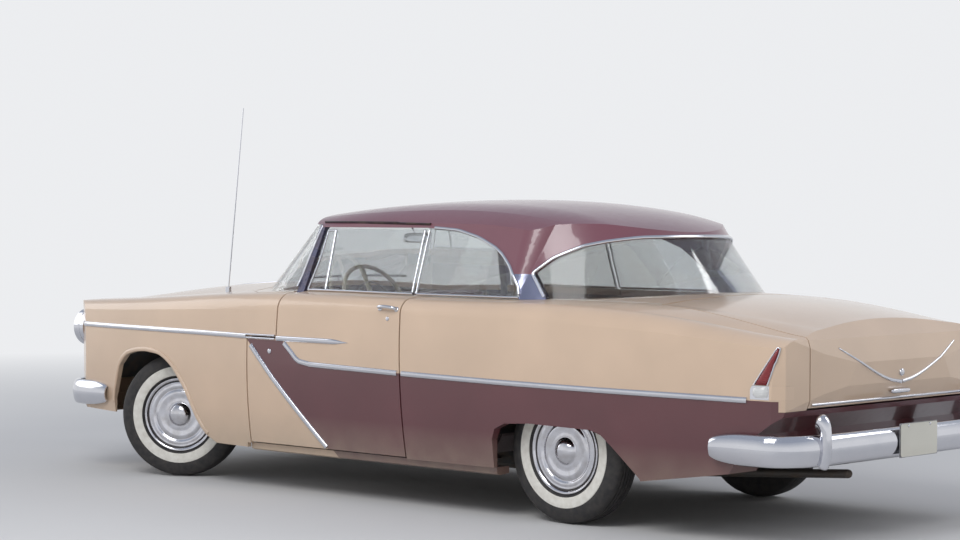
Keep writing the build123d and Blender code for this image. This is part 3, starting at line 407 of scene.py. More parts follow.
# Making meshes
def new_piece(name, verts, faces, material, body, smooth=True, crease=None):
    """A mesh in the car's frame that rides on one body."""
    mesh = bpy.data.meshes.new(name)
    mesh.from_pydata([tuple(v) for v in verts], [], faces)
    # corners that coincide are joined, and faces turned outward
    cleaner = bmesh.new()
    cleaner.from_mesh(mesh)
    bmesh.ops.remove_doubles(cleaner, verts=cleaner.verts, dist=1e-6)
    bmesh.ops.recalc_face_normals(cleaner, faces=cleaner.faces)
    cleaner.to_mesh(mesh)
    cleaner.free()
    for polygon in mesh.polygons:
        polygon.use_smooth = smooth
    if crease is not None:
        mesh.set_sharp_from_angle(angle=math.radians(crease))
    made = bpy.data.objects.new(name, mesh)
    bpy.context.scene.collection.objects.link(made)
    mesh.materials.append(material)
    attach(made, body)
    return made


def grid_faces(rows, columns, closed_rows=False, closed_columns=False):
    faces = []
    for i in range(rows if closed_rows else rows - 1):
        for j in range(columns if closed_columns else columns - 1):
            a = i * columns + j
            b = i * columns + (j + 1) % columns
            c = ((i + 1) % rows) * columns + (j + 1) % columns
            d = ((i + 1) % rows) * columns + j
            faces.append((a, b, c, d))
    return faces


def capped(rings, columns):
    """Faces of a closed tube of rings, with both ends filled."""
    faces = grid_faces(rings, columns, closed_columns=True)
    faces.append(tuple(range(columns)))
    faces.append(tuple(range((rings - 1) * columns, rings * columns)))
    return faces


def resample(path, step):
    """Points about a step apart along a polyline, with its ends kept."""
    points = [Vector(p) for p in path]
    lengths = [0.0]
    for a, b in zip(points, points[1:]):
        lengths.append(lengths[-1] + (b - a).length)
    count = max(2, int(round(lengths[-1] / step)) + 1)
    result = []
    index = 0
    for i in range(count):
        at = lengths[-1] * i / (count - 1)
        while index < len(points) - 2 and lengths[index + 1] < at:
            index += 1
        span = lengths[index + 1] - lengths[index]
        share = (at - lengths[index]) / span if span else 0.0
        result.append(points[index].lerp(points[index + 1], share))
    return result


def smoothed(path, rounds=2):
    """The path with its corners rounded by cutting them, its ends kept."""
    points = [Vector(p) for p in path]
    for _ in range(rounds):
        cut = [points[0]]
        for a, b in zip(points, points[1:]):
            cut.append(a.lerp(b, 0.25))
            cut.append(a.lerp(b, 0.75))
        cut.append(points[-1])
        points = cut
    return points


def spread(low, high, count):
    """Evenly spaced numbers from low to high."""
    return [low + (high - low) * i / (count - 1) for i in range(count)]


def strip_section(width, height):
    """A low rounded strip's section as (across, out) points, closed below the surface."""
    points = [(-width / 2 * math.cos(turn), height * math.sin(turn) ** 0.8) for turn in spread(0, math.pi, 9)]
    return points + [(width / 2, -STRIP_SINK), (-width / 2, -STRIP_SINK)]


def tree_of(names):
    """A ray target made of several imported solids."""
    verts = []
    faces = []
    for name in names:
        base = len(verts)
        mesh = nodes[name].data
        verts += [v.co.copy() for v in mesh.vertices]
        faces += [[base + i for i in polygon.vertices] for polygon in mesh.polygons]
    return BVHTree.FromPolygons(verts, faces)


SIDE_SKIN = {
    1: tree_of(["front_fenders", "door_panel_left", "quarter_panels", "rocker_panels"]),
    -1: tree_of(["front_fenders", "door_panel_right", "quarter_panels", "rocker_panels"]),
}
GREENHOUSE = {
    1: tree_of(["roof_panel", "windshield_pillars", "door_glass_left", "quarter_windows"]),
    -1: tree_of(["roof_panel", "windshield_pillars", "door_glass_right", "quarter_windows"]),
}
SIDE_NAMES = {1: "left", -1: "right"}
FRONT_SKIN = tree_of(["roof_panel", "windshield_glass"])
LID_SKIN = tree_of(["trunk_lid_panel"])
HOOD_SKIN = tree_of(["hood_panel"])
LAMP_SKIN = dict.fromkeys(SIDE_NAMES, tree_of(["tail_lamp_lenses", "tail_lamp_bezels"]))
ROOF_METAL = tree_of(["roof_panel"])
BACKLIGHT_PANE = tree_of(["backlight_glass"])
WINDSHIELD_PANE = tree_of(["windshield_glass"])
QUARTER_PANE = tree_of(["quarter_windows"])


def cast(target, origin, direction):
    """Where a ray meets a target, and the surface's direction towards the ray's start."""
    direction = Vector(direction).normalized()
    place, normal, _, _ = target.ray_cast(Vector(origin), direction)
    if place is None:
        raise RuntimeError(f"no surface from {tuple(origin)} along {tuple(direction)}")
    if normal.dot(direction) > 0:
        normal = -normal
    return place, normal


def side_hit(target, y, z, side):
    """Where a level ray from beside the car meets a target, with the surface's outward direction.

    A ray that falls into a seam is tried again just above and below it.
    """
    for nudge in SEAM_NUDGES:
        start = Vector((side * BESIDE_X, y, z + nudge))
        place, normal, _, _ = target[side].ray_cast(start, Vector((-side, 0, 0)))
        if place is not None and abs(place.x) > SEAM_DEPTH_X:
            break
    else:
        raise RuntimeError(f"no surface at y {y:.3f} z {z:.3f} on side {side}")
    if normal.x * side < 0:
        normal = -normal
    return Vector((place.x, y, z)), normal


def hit_strip(name, hits, width, height, body="car_body", material=None, taper=None):
    """A low rounded strip through places on a surface; hits are the places and outward directions."""
    section = strip_section(width, height)
    verts = []
    last = len(hits) - 1
    for i, (place, out) in enumerate(hits):
        ahead = hits[min(i + 1, last)][0] - hits[max(i - 1, 0)][0]
        across = out.cross(ahead).normalized()
        lift = ahead.cross(across).normalized()
        grow = taper(i / last) if taper else 1.0
        for u, v in section:
            verts.append(place + across * (u * grow) + lift * (v * max(grow, 0.25) if v > 0 else v))
    return new_piece(name, verts, capped(last + 1, len(section)), material or bright(), body, crease=50)


def side_strip(name, path, width, height, side, body="car_body", material=None, target=SIDE_SKIN,
               step=0.03, taper=None):
    """A trim strip that follows the car's side along (y, z) points."""
    flat = resample([(0.0, y, z) for y, z in path], step)
    hits = [side_hit(target, p.y, p.z, side) for p in flat]
    return hit_strip(name, hits, width, height, body, material, taper)


def revolved(name, profile, centre, axis, material, body, segments=96, crease=35):
    """A closed (radius, offset) profile turned about an axis."""
    centre, axis = Vector(centre), Vector(axis).normalized()
    across = axis.cross(Vector((0, 0, 1)) if abs(axis.z) < 0.9 else Vector((1, 0, 0))).normalized()
    upward = axis.cross(across)
    verts = []
    for i in range(segments):
        turn = 2 * math.pi * i / segments
        ray = across * math.cos(turn) + upward * math.sin(turn)
        verts += [centre + axis * offset + ray * radius for radius, offset in profile]
    faces = grid_faces(segments, len(profile), closed_rows=True, closed_columns=True)
    return new_piece(name, verts, faces, material, body, crease=crease)


def tube(name, path, radius, body="car_body", segments=12, rounds=2, taper=None):
    """A bright round bar along a path whose corners are rounded."""
    places = smoothed(path, rounds)
    last = len(places) - 1
    verts = []
    out = Vector((0, 0, 1))
    for i, place in enumerate(places):
        ahead = (places[min(i + 1, last)] - places[max(i - 1, 0)]).normalized()
        across = out.cross(ahead)
        if across.length < 0.05:
            across = Vector((1, 0, 0)).cross(ahead)
        across.normalize()
        out = ahead.cross(across).normalized()
        reach = radius * (taper(i / last) if taper else 1.0)
        for step in range(segments):
            turn = 2 * math.pi * step / segments
            verts.append(place + across * (reach * math.cos(turn)) + out * (reach * math.sin(turn)))
    return new_piece(name, verts, capped(last + 1, segments), bright(), body, crease=50)


def rounded_bar(name, half, centre, body="car_body", round_off=0.45, material=None):
    """A soft-cornered block of the given half sizes."""
    verts = []
    rows, columns = 13, 24
    for up in spread(-math.pi / 2, math.pi / 2, rows):
        for j in range(columns):
            around = 2 * math.pi * j / columns
            point = (math.cos(up) * math.cos(around), math.cos(up) * math.sin(around), math.sin(up))
            corner = [math.copysign(abs(v) ** round_off, v) * h for v, h in zip(point, half)]
            verts.append(Vector(centre) + Vector(corner))
    faces = grid_faces(rows, columns, closed_columns=True)
    return new_piece(name, verts, faces, material or bright(), body, crease=60)


def ring_plate(name, place, out, radius, height, body="car_body", segments=24, material=None):
    """A small rounded button that stands on a surface."""
    profile = [(0.0, -0.003), (radius, -0.003), (radius, height * 0.5), (radius * 0.86, height * 0.85),
               (radius * 0.55, height), (0.0, height)]
    return revolved(name, profile, place, out, material or bright(), body, segments=segments, crease=50)


def lined(name, target, starts, direction, gap, material, body="car_body"):
    """A sheet just short of a target: starts holds rows of ray starts, gap(i, j) the distance there."""
    direction = Vector(direction)
    places = [cast(target, start, direction)[0] - direction * gap(i, j)
              for i, row in enumerate(starts) for j, start in enumerate(row)]
    return new_piece(name, places, grid_faces(len(starts), len(starts[0])), material, body)


def thicken(made, thickness):
    made.modifiers.new("thickness", "SOLIDIFY").thickness = thickness


def cut_path(path, y_from, y_to):
    """The part of a (y, z) path between two stations."""
    kept = []
    for (y1, z1), (y2, z2) in zip(path, path[1:]):
        low, high = max(y1, y_from), min(y2, y_to)
        if low > high:
            continue
        for y in (low, high):
            share = (y - y1) / (y2 - y1)
            point = (y, z1 + share * (z2 - z1))
            if not kept or (point[0] - kept[-1][0]) > 1e-4:
                kept.append(point)
    return kept


PANEL_CREASE = 30


def assign(names, material):
    """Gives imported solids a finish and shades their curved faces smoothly."""
    for name in names:
        mesh = nodes[name].data
        mesh.materials.clear()
        mesh.materials.append(material)
        for polygon in mesh.polygons:
            polygon.use_smooth = True
        mesh.set_sharp_from_angle(angle=math.radians(PANEL_CREASE))
        nodes[name].modifiers.new("even_shading", "WEIGHTED_NORMAL").keep_sharp = True


class DRESS_PG_car(bpy.types.PropertyGroup):
    """Sizes and colours that a user would change."""
    cream: bpy.props.FloatVectorProperty(
        name="Cream paint", description="Colour of the upper body", subtype="COLOR",
        default=(0.60, 0.44, 0.315), min=0.0, max=1.0)
    maroon: bpy.props.FloatVectorProperty(
        name="Maroon sweep", description="Colour of the sweep on the sides and the valance",
        subtype="COLOR", default=(0.105, 0.03, 0.035), min=0.0, max=1.0)
    roof: bpy.props.FloatVectorProperty(
        name="Roof paint", description="Colour of the roof", subtype="COLOR",
        default=(0.175, 0.060, 0.080), min=0.0, max=1.0)
    spear_width: bpy.props.FloatProperty(
        name="Spear width", description="Width of the bright strips on the sides", default=0.028,
        min=0.01, max=0.06, unit="LENGTH")
    white_inner: bpy.props.FloatProperty(
        name="White wall inner radius", description="Where the white wall starts", default=0.216,
        unit="LENGTH")
    white_outer: bpy.props.FloatProperty(
        name="White wall outer radius", description="Where the white wall ends", default=0.267,
        unit="LENGTH")


def colours():
    return bpy.context.scene.classic_car


SHARED = {}


def shared(name, maker, *values):
    """A material that several operators use, made once."""
    if name not in SHARED:
        SHARED[name] = maker(name, *values)
    return SHARED[name]


def bright():
    return shared("chrome_plate", chrome_plate)


class DRESS_OT_paintwork(bpy.types.Operator):
    """Paints the body panels in cream, with the dark sweep on the sides and a maroon roof"""
    bl_idname = "dress.paintwork"
    bl_label = "Paintwork"

    def execute(self, context):
        car = colours()
        sides = two_tone("side_paint", car.cream, car.maroon)
        assign(["front_fenders", "door_panel_left", "door_panel_right", "quarter_panels", "rocker_panels",
                "tail_lamp_lenses"], sides)
        cream = paint("cream_paint", car.cream)
        assign(["hood_panel", "trunk_lid_panel", "cowl_panel", "rear_deck_panel", "front_panel"], cream)
        assign(["roof_panel"], roof_finish("roof_paint", car.roof))
        assign(["tail_panel"], paint("maroon_paint", car.maroon))
        return {"FINISHED"}


class DRESS_OT_brightwork(bpy.types.Operator):
    """Plates the bumpers, bezels, grille and antenna, and gives the pillars dull metal in a dark blue that is
    painted reflection
    """
    bl_idname = "dress.brightwork"
    bl_label = "Brightwork"

    def execute(self, context):
        assign(["tail_lamp_bezels"], pod_plate("pod_plate", colours().cream))
        assign(["grille_bars", "front_bumper", "rear_bumper", "headlamps", "antenna",
                "wheel_front_left", "wheel_front_right", "wheel_rear_left", "wheel_rear_right"], bright())
        # the windshield pillars' dark blue tone stands in for the reflection on chrome pillars: painted
        # reflection, with the dull metal's grime spots
        assign(["windshield_pillars"], shared("pillar_metal", dull_metal, (0.10, 0.10, 0.16), 0.22))
        return {"FINISHED"}


class DRESS_OT_glazing(bpy.types.Operator):
    """Gives the windows their faintly green glass"""
    bl_idname = "dress.glazing"
    bl_label = "Glazing"

    def execute(self, context):
        pane = clear_glass("window_glass", (0.84, 0.92, 0.90))
        assign(["windshield_glass", "backlight_glass", "quarter_windows", "door_glass_left",
                "door_glass_right"], pane)
        return {"FINISHED"}


class DRESS_OT_underside(bpy.types.Operator):
    """Finishes the frame, axles, engine and the other hidden metal"""
    bl_idname = "dress.underside"
    bl_label = "Underside"

    def execute(self, context):
        black = dull_metal("frame_black", (0.02, 0.02, 0.02))
        assign(["chassis_frame", "wheel_houses", "rear_axle", "front_suspension", "leaf_springs", "radiator",
                "fuel_tank", "knuckle_left", "knuckle_right"], black)
        assign(["exhaust", "driveline"], dull_metal("sooty_steel", (0.07, 0.062, 0.055)))
        assign(["engine_block"], dull_metal("cast_iron", (0.09, 0.09, 0.1)))
        assign(["floor_pan"], carpet("floor_carpet", (0.06, 0.03, 0.03)))
        return {"FINISHED"}


class DRESS_OT_cabin(bpy.types.Operator):
    """Trims the seats, dashboard, shelf and steering wheel"""
    bl_idname = "dress.cabin"
    bl_label = "Cabin"

    def execute(self, context):
        assign(["front_seat", "rear_seat"], woven("seat_cloth", (0.3, 0.2, 0.16), (0.14, 0.04, 0.05)))
        assign(["dashboard", "steering_column"], vinyl("dash_paint", (0.16, 0.05, 0.06)))
        assign(["package_shelf"], carpet("shelf_cloth", (0.2, 0.08, 0.09)))
        assign(["steering_wheel"], vinyl("wheel_ivory", (0.62, 0.55, 0.42)))
        return {"FINISHED"}


def wheel_places():
    """Each wheel's label, body, centre and outward axis."""
    for end in ("front", "rear"):
        for side, label in SIDE_NAMES.items():
            joint = JOINTS[f"{end}_{label}_wheel_spin"]
            axis = Vector(joint["axis"])
            if axis.x * side < 0:
                axis = -axis
            yield f"{end}_{label}", joint["child"], Vector(joint["pos_m"]), axis


class DRESS_OT_tyres(bpy.types.Operator):
    """Makes each tyre with its ribbed tread, rounded walls and white band"""
    bl_idname = "dress.tyres"
    bl_label = "Tyres"

    def execute(self, context):
        car = colours()
        # radius, offset: one half, from the bead over the wall and shoulder to the middle of the tread
        half = [
            (0.1912, 0.0595), (0.2030, 0.0615), (0.2050, 0.0690), (0.2110, 0.0745), (0.2155, 0.0780),
            (0.2165, 0.0768), (0.2185, 0.0785), (0.2300, 0.0805), (0.2450, 0.0820), (0.2600, 0.0826),
            (0.2655, 0.0822), (0.2670, 0.0806), (0.2700, 0.0818), (0.2850, 0.0806), (0.3000, 0.0780),
            (0.3130, 0.0742), (0.3230, 0.0695), (0.3310, 0.0640), (0.3355, 0.0580), (0.3385, 0.0480),
            (0.3390, 0.0410), (0.3325, 0.0400), (0.3325, 0.0365), (0.3400, 0.0355), (0.3415, 0.0230),
            (0.3350, 0.0220), (0.3350, 0.0185), (0.3422, 0.0175), (0.3430, 0.0030), (0.3365, 0.0022)]
        profile = half + [(radius, -offset) for radius, offset in reversed(half)]
        for label, body, centre, axis in wheel_places():
            rubber = tyre_rubber(f"rubber_{label}", tuple(centre), tuple(axis),
                                 (car.white_inner, car.white_outer))
            made = revolved(f"tyre_ring_{label}", profile, centre, axis, rubber, body, segments=144)
            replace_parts(made, f"tyre_{label}")
        return {"FINISHED"}


class DRESS_OT_covers(bpy.types.Operator):
    """Makes the full wheel covers with their dome, dished rings and painted shade in the groove, on the rims
    """
    bl_idname = "dress.covers"
    bl_label = "Wheel covers"

    def execute(self, context):
        # radius, offset of the cover's face from its middle to the lip
        face = [
            (0.0, 0.092), (0.018, 0.0912), (0.034, 0.0875), (0.046, 0.0815), (0.056, 0.0735), (0.062, 0.0660),
            (0.066, 0.0632), (0.072, 0.0640), (0.088, 0.0622), (0.102, 0.0632), (0.116, 0.0655),
            (0.127, 0.0645), (0.135, 0.0600), (0.140, 0.0575), (0.145, 0.0600), (0.151, 0.0645),
            (0.160, 0.0652), (0.170, 0.0635), (0.177, 0.0655), (0.181, 0.0615), (0.185, 0.0618),
            (0.190, 0.0685), (0.197, 0.0722), (0.2022, 0.0715), (0.2025, 0.0665)]
        face = [(p.x, p.y) for p in smoothed([(r, o, 0.0) for r, o in face], 1)]
        inside = [
            (0.1905, 0.062), (0.1905, -0.062), (0.2025, -0.066), (0.2025, -0.072), (0.1805, -0.070),
            (0.1765, -0.040), (0.1605, -0.012), (0.1605, 0.012), (0.150, 0.022), (0.150, -0.034),
            (0.142, -0.034), (0.142, 0.012), (0.060, 0.012), (0.050, -0.030), (0.024, -0.030),
            (0.024, 0.037), (0.0, 0.037)]
        for label, body, centre, axis in wheel_places():
            plate = cover_plate(f"cover_{label}", tuple(centre), tuple(axis))
            made = revolved(f"wheel_cover_{label}", face + inside, centre, axis, plate, body)
            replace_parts(made, f"wheel_{label}")
        return {"FINISHED"}


class DRESS_OT_side_trim(bpy.types.Operator):
    """Lays the bright spears and the diagonal strip on both sides, split at the door seams"""
    bl_idname = "dress.side_trim"
    bl_label = "Side trim"

    def execute(self, context):
        width = colours().spear_width
        front = DOOR_SHOULDER_Y - SEAM_HALF
        for side, label in SIDE_NAMES.items():
            door = f"door_{label}"
            # name, path, from, to, body, pointed end
            runs = [
                ("upper_spear_front", UPPER_SPEAR, -2.5, LAP_FRONT_Y, "car_body", False),
                ("upper_spear_door", UPPER_SPEAR, DOOR_SHOULDER_Y + SEAM_HALF, 1.0, door, True),
                ("lower_spear_door", LOWER_SPEAR, -0.7, DOOR_END_Y - 0.028, door, False),
                ("lower_spear_rear", LOWER_SPEAR, DOOR_END_Y + 0.004, 2.4, "car_body", False),
                ("diagonal_door", DIAGONAL, -0.9, 0.0, door, False),
            ]
            for name, path, y_from, y_to, body, pointed in runs:
                piece = cut_path(path, y_from, y_to)
                taper = (lambda t: 1.0 if t < 0.8 else max(0.05, (1 - t) / 0.2)) if pointed else None
                side_strip(f"{name}_{label}", piece, width, 0.009, side, body, taper=taper)
            place, out = side_hit(SIDE_SKIN, *STUD_PLACE, side)
            ring_plate(f"sweep_stud_{label}", place, out, 0.013, 0.006, door)
            half = (width - SPEAR_GAP) / 2
            for name, shift, body in (("fender", 1, "car_body"), ("door", -1, door)):
                z = SHOULDER_Z + shift * (SPEAR_GAP + half) / 2
                side_strip(f"upper_spear_lap_{name}_{label}", [(LAP_FRONT_Y, z), (front, z)], half, 0.0085,
                           side, body, step=0.01)
        return {"FINISHED"}


EDGE_HALVINGS = 20
EDGE_INSET = 0.004


def pane_edge(pane, ray, on_metal, on_pane):
    """Where the rays of a family leave the roof's metal and meet the pane, on the metal's side.

    ray gives a ray's start and direction for a number; on_metal and on_pane are two such numbers.
    """
    def meets_pane(number):
        start, direction = ray(number)
        glass = pane.ray_cast(start, direction)
        sheet = ROOF_METAL.ray_cast(start, direction)
        return glass[0] is not None and (sheet[0] is None or glass[3] < sheet[3])

    if meets_pane(on_metal) or not meets_pane(on_pane):
        raise RuntimeError(f"no window edge between {on_metal} and {on_pane}")
    for _ in range(EDGE_HALVINGS):
        middle = (on_metal + on_pane) / 2
        if meets_pane(middle):
            on_pane = middle
        else:
            on_metal = middle
    inward = EDGE_INSET if on_metal > on_pane else -EDGE_INSET
    start, direction = ray(on_metal + inward)
    place, normal, _, _ = ROOF_METAL.ray_cast(start, direction)
    if place is None:
        raise RuntimeError(f"no metal beside the window edge at {on_metal:.3f}")
    return place, (normal if normal.dot(direction) < 0 else -normal)


def level_ray(y, angle, z):
    """A level ray towards the car's middle; 0 degrees comes from the left side, 90 from the rear."""
    turn = math.radians(angle)
    away = Vector((math.cos(turn), math.sin(turn), 0))
    return Vector((0, y, z)) + away * CENTRE_REACH, -away


RAIL_LINE = [(-0.630, 1.4095), (-0.400, 1.4095), (-0.100, 1.4080), (0.170, 1.404)]


class DRESS_OT_window_trim(bpy.types.Operator):
    """Frames the windows: drip rails, quarter arcs, backlight surround, pillars, vents and belt strips"""
    bl_idname = "dress.window_trim"
    bl_label = "Window trim"

    def execute(self, context):
        rail_paint = shared("rail_paint", dull_metal, (0.03, 0.015, 0.02), 0.3)
        for side, label in SIDE_NAMES.items():
            door = f"door_{label}"
            side_strip(f"drip_rail_{label}", RAIL_LINE, 0.012, 0.010, side, "car_body", rail_paint,
                       GREENHOUSE)
            # name, path, width, height, body
            for name, path, width, height, body in [
                ("pillar_edge", [(-0.694, 1.075), (-0.660, 1.235), (-0.622, 1.392)], 0.010, 0.006,
                 "car_body"),
                ("vent_post", [(-0.490, 1.066), (-0.503, 1.220), (-0.516, 1.368)], 0.013, 0.008, door),
                ("vent_edge", [(-0.622, 1.066), (-0.585, 1.220), (-0.572, 1.368)], 0.009, 0.006, door),
                ("vent_top", [(-0.572, 1.368), (-0.516, 1.368)], 0.009, 0.006, door),
                ("lead_post", [(0.144, 1.064), (0.139, 1.220), (0.134, 1.370)], 0.010, 0.008, door),
                ("quarter_post", [(0.172, 1.058), (0.168, 1.220), (0.166, 1.374)], 0.008, 0.007,
                 "car_body"),
                ("door_belt", [(-0.622, 1.060), (-0.164, 1.058), (0.148, 1.056)], 0.012, 0.008, door),
                ("quarter_belt", [(0.176, 1.056), (0.535, 1.056), (0.860, 1.056)], 0.012, 0.008,
                 "car_body"),
            ]:
                side_strip(f"{name}_{label}", path, width, height, side, body, target=GREENHOUSE)
            self.quarter_arc(side, label)
        self.surround()
        return {"FINISHED"}

    def quarter_arc(self, side, label):
        """The bright arc over the quarter window, down to the belt."""
        hits = []
        for angle in (87, 83, 79, 75, 71, 67, 62, 57, 52, 47, 42, 37, 32, 27, 22, 18, 14, 10, 7, 4, 1):
            turn = math.radians(angle)
            spoke = Vector((0, math.cos(turn), math.sin(turn)))
            hits.append(pane_edge(QUARTER_PANE, lambda reach: (
                Vector((side * BESIDE_X, 0.19, 1.06)) + spoke * reach, Vector((-side, 0, 0))), 0.78, 0.22))
        hit_strip(f"quarter_arc_{label}", hits, 0.016, 0.009)

    def surround(self):
        """The bright band round the backlight and the one over the windshield."""
        inward = Vector((-1, 0, 0))
        half = [pane_edge(BACKLIGHT_PANE, lambda y: (Vector((BESIDE_X, y, z)), inward), 0.885, 1.25)
                for z in spread(1.062, 1.316, 25)]
        middle_y = 0.9
        corner = math.degrees(math.atan2(half[-1][0].y - middle_y, half[-1][0].x))
        half += [pane_edge(BACKLIGHT_PANE, lambda z: level_ray(middle_y, angle, z), 1.40, 1.26)
                 for angle in spread(corner, 90, 15)[1:]]
        other = [(Vector((-p.x, p.y, p.z)), Vector((-n.x, n.y, n.z))) for p, n in reversed(half[:-1])]
        hit_strip("backlight_band", half + other, 0.018, 0.008)
        front = [pane_edge(WINDSHIELD_PANE, lambda z: level_ray(-0.4, angle, z), 1.43, 1.30)
                 for angle in range(-58, -123, -4)]
        hit_strip("windshield_band", front, 0.012, 0.007)


class DRESS_OT_arch_lips(bpy.types.Operator):
    """Rolls a lip round each front wheel arch, in the body's paint"""
    bl_idname = "dress.arch_lips"
    bl_label = "Arch lips"

    def execute(self, context):
        arch = [(-2.106, 0.400), (-2.098, 0.450), (-2.080, 0.505), (-2.062, 0.560), (-2.043, 0.612),
                (-1.985, 0.674), (-1.893, 0.700), (-1.780, 0.709), (-1.668, 0.696), (-1.600, 0.665),
                (-1.540, 0.622), (-1.490, 0.566), (-1.446, 0.514), (-1.405, 0.440), (-1.362, 0.360),
                (-1.318, 0.302), (-1.282, 0.272)]
        smooth = [(p.y, p.z) for p in smoothed([(0, y, z) for y, z in arch], 1)]
        finish = nodes["front_fenders"].data.materials[0]
        for side, label in SIDE_NAMES.items():
            side_strip(f"arch_lip_{label}", smooth, 0.024, 0.007, side, "car_body", finish)
        return {"FINISHED"}


class DRESS_OT_handles(bpy.types.Operator):
    """Adds the door handles and their key locks"""
    bl_idname = "dress.handles"
    bl_label = "Door handles"

    def execute(self, context):
        for side, label in SIDE_NAMES.items():
            door = f"door_{label}"
            front, out = side_hit(SIDE_SKIN, *HANDLE_FRONT, side)
            rear, _ = side_hit(SIDE_SKIN, *HANDLE_REAR, side)
            lock, lock_out = side_hit(SIDE_SKIN, *LOCK_PLACE, side)
            lift = out * 0.026
            path = [front - out * 0.004, front + lift, front.lerp(rear, 0.5) + lift * 1.25, rear + lift * 0.9,
                    rear - out * 0.004]
            tube(f"door_handle_{label}", path, 0.0085, door)
            ring_plate(f"handle_root_{label}", front, out, 0.014, 0.007, door)
            ring_plate(f"handle_button_{label}", rear, out, 0.013, 0.007, door)
            ring_plate(f"door_lock_{label}", lock, lock_out, 0.011, 0.005, door)
        return {"FINISHED"}


class DRESS_OT_lamps(bpy.types.Operator):
    """Adds lamp lenses, chrome edges, reversing lamps and parking lamps"""
    bl_idname = "dress.lamps"
    bl_label = "Lamps"

    def execute(self, context):
        white = shared("white_lens", lamp_glass, (0.82, 0.82, 0.8), 900.0)
        amber = shared("amber_lens", lamp_glass, (0.75, 0.42, 0.12), 700.0)
        red = shared("red_lens", lamp_glass, (0.30, 0.012, 0.018), 700.0)
        rim_low, rim_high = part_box("headlamps")
        ring = (rim_high.z - rim_low.z) / 2
        # radius and offset as shares of the ring
        dome = [(0.0, -0.06), (0.74, -0.20), (0.74, -0.17), (0.60, -0.055), (0.42, -0.005), (0.2, 0.022),
                (0.0, 0.03)]
        rim = [(0.72, -0.30), (0.72, -0.13), (0.76, -0.06), (0.84, -0.04), (0.93, -0.12), (0.99, -0.26),
               (1.01, -0.45), (0.96, -0.45)]
        blade_loop = [(front - 0.003, z) for z, front, _ in BLADE_LEVELS] + \
                     [(rear + 0.003, z) for z, _, rear in reversed(BLADE_LEVELS)]
        for side, label in SIDE_NAMES.items():
            lamp = Vector((side * (rim_high.x - ring), rim_low.y, (rim_low.z + rim_high.z) / 2))
            _, edge = [revolved(f"headlamp_{name}_{label}", [(r * ring, o * ring) for r, o in shares], lamp,
                                (0, -1, 0), finish, "car_body", crease=50)
                       for name, shares, finish in (("lens", dome, white), ("rim", rim, bright()))]
            thicken(lens_patch(f"tail_blade_{label}", BLADE_LEVELS, side, 0.010, red), 0.004)
            lens_patch(f"reversing_lens_{label}", POD_LEVELS, side, 0.014, white)
            side_strip(f"blade_rim_{label}", blade_loop, 0.008, 0.007, side, target=LAMP_SKIN, step=0.012)
            rounded_bar(f"parking_lamp_{label}", (0.062, 0.012, 0.026), (side * 0.735, -2.4845, 0.628),
                        material=amber)
            rounded_bar(f"parking_bezel_{label}", (0.074, 0.008, 0.037), (side * 0.735, -2.4810, 0.628),
                        round_off=0.4)
        return {"FINISHED"}


# The tail lamp's red blade on the fender's end: (z, front y, rear y)
BLADE_LEVELS = [(0.7190, 2.322, 2.384), (0.740, 2.336, 2.391), (0.765, 2.352, 2.400), (0.790, 2.369, 2.408),
                (0.815, 2.385, 2.416), (0.840, 2.402, 2.424), (0.862, 2.416, 2.430), (0.880, 2.427, 2.434)]
POD_LEVELS = [(0.664, 2.330, 2.382), (0.674, 2.316, 2.389), (0.688, 2.312, 2.391), (0.702, 2.316, 2.389),
              (0.711, 2.328, 2.382)]


def lens_patch(name, levels, side, bulge, material):
    """A domed lens laid on the fender's end between a front and a rear line."""
    columns = 9
    verts = []
    for i, (z, front, rear) in enumerate(levels):
        end = math.sin(math.pi * (0.08 + 0.84 * i / (len(levels) - 1))) ** 0.5
        for j, y in enumerate(spread(front, rear, columns)):
            place, out = side_hit(LAMP_SKIN, y, z, side)
            edge = math.sin(math.pi * j / (columns - 1)) ** 0.6
            verts.append(place + out * (bulge * edge * end + 0.0008))
    return new_piece(name, verts, grid_faces(len(levels), columns), material, "car_body", crease=60)


class DRESS_OT_ornaments(bpy.types.Operator):
    """Adds the plain trim of hood and lid: spear, centre strip, shallow vee, handle and lower strip"""
    bl_idname = "dress.ornaments"
    bl_label = "Ornaments"

    def execute(self, context):
        hood = [cast(HOOD_SKIN, (0, y, 1.5), (0, 0, -1)) for y in spread(-2.44, -1.29, 24)]
        hit_strip("hood_strip", hood, 0.012, 0.006, "hood")
        lip = [cast(HOOD_SKIN, (x, -3.0, HOOD_LIP_Z), (0, 1, 0)) for x in spread(-0.55, 0.55, 23)]
        hit_strip("hood_lip_strip", lip, 0.014, 0.008, "hood")
        low = [self.on_lid(x, LID_STRIP_Z) for x in spread(-0.665, 0.665, 39)]
        hit_strip("lid_lower_strip", low, 0.013, 0.007, "trunk_lid")
        vee = smoothed([(0.004, 0, 0.700), (0.12, 0, 0.716), (0.30, 0, 0.786), (0.474, 0, 0.868)])
        for side, label in SIDE_NAMES.items():
            hit_strip(f"lid_wing_{label}", [self.on_lid(side * p.x, p.z) for p in vee], 0.018, 0.009,
                      "trunk_lid", taper=lambda t: 1.0 - 0.6 * t)
        ring_plate("lid_lock", *self.on_lid(0, LID_LOCK_Z), 0.017, 0.009, "trunk_lid")
        place, out = self.on_lid(0, LID_HANDLE_Z)
        rounded_bar("lid_handle", (0.075, 0.012, 0.010), place + out * 0.012, "trunk_lid", 0.5)
        return {"FINISHED"}

    def on_lid(self, x, z):
        """A place on the lid's rear face."""
        return cast(LID_SKIN, (x, 3.0, z), (0, -1, 0))


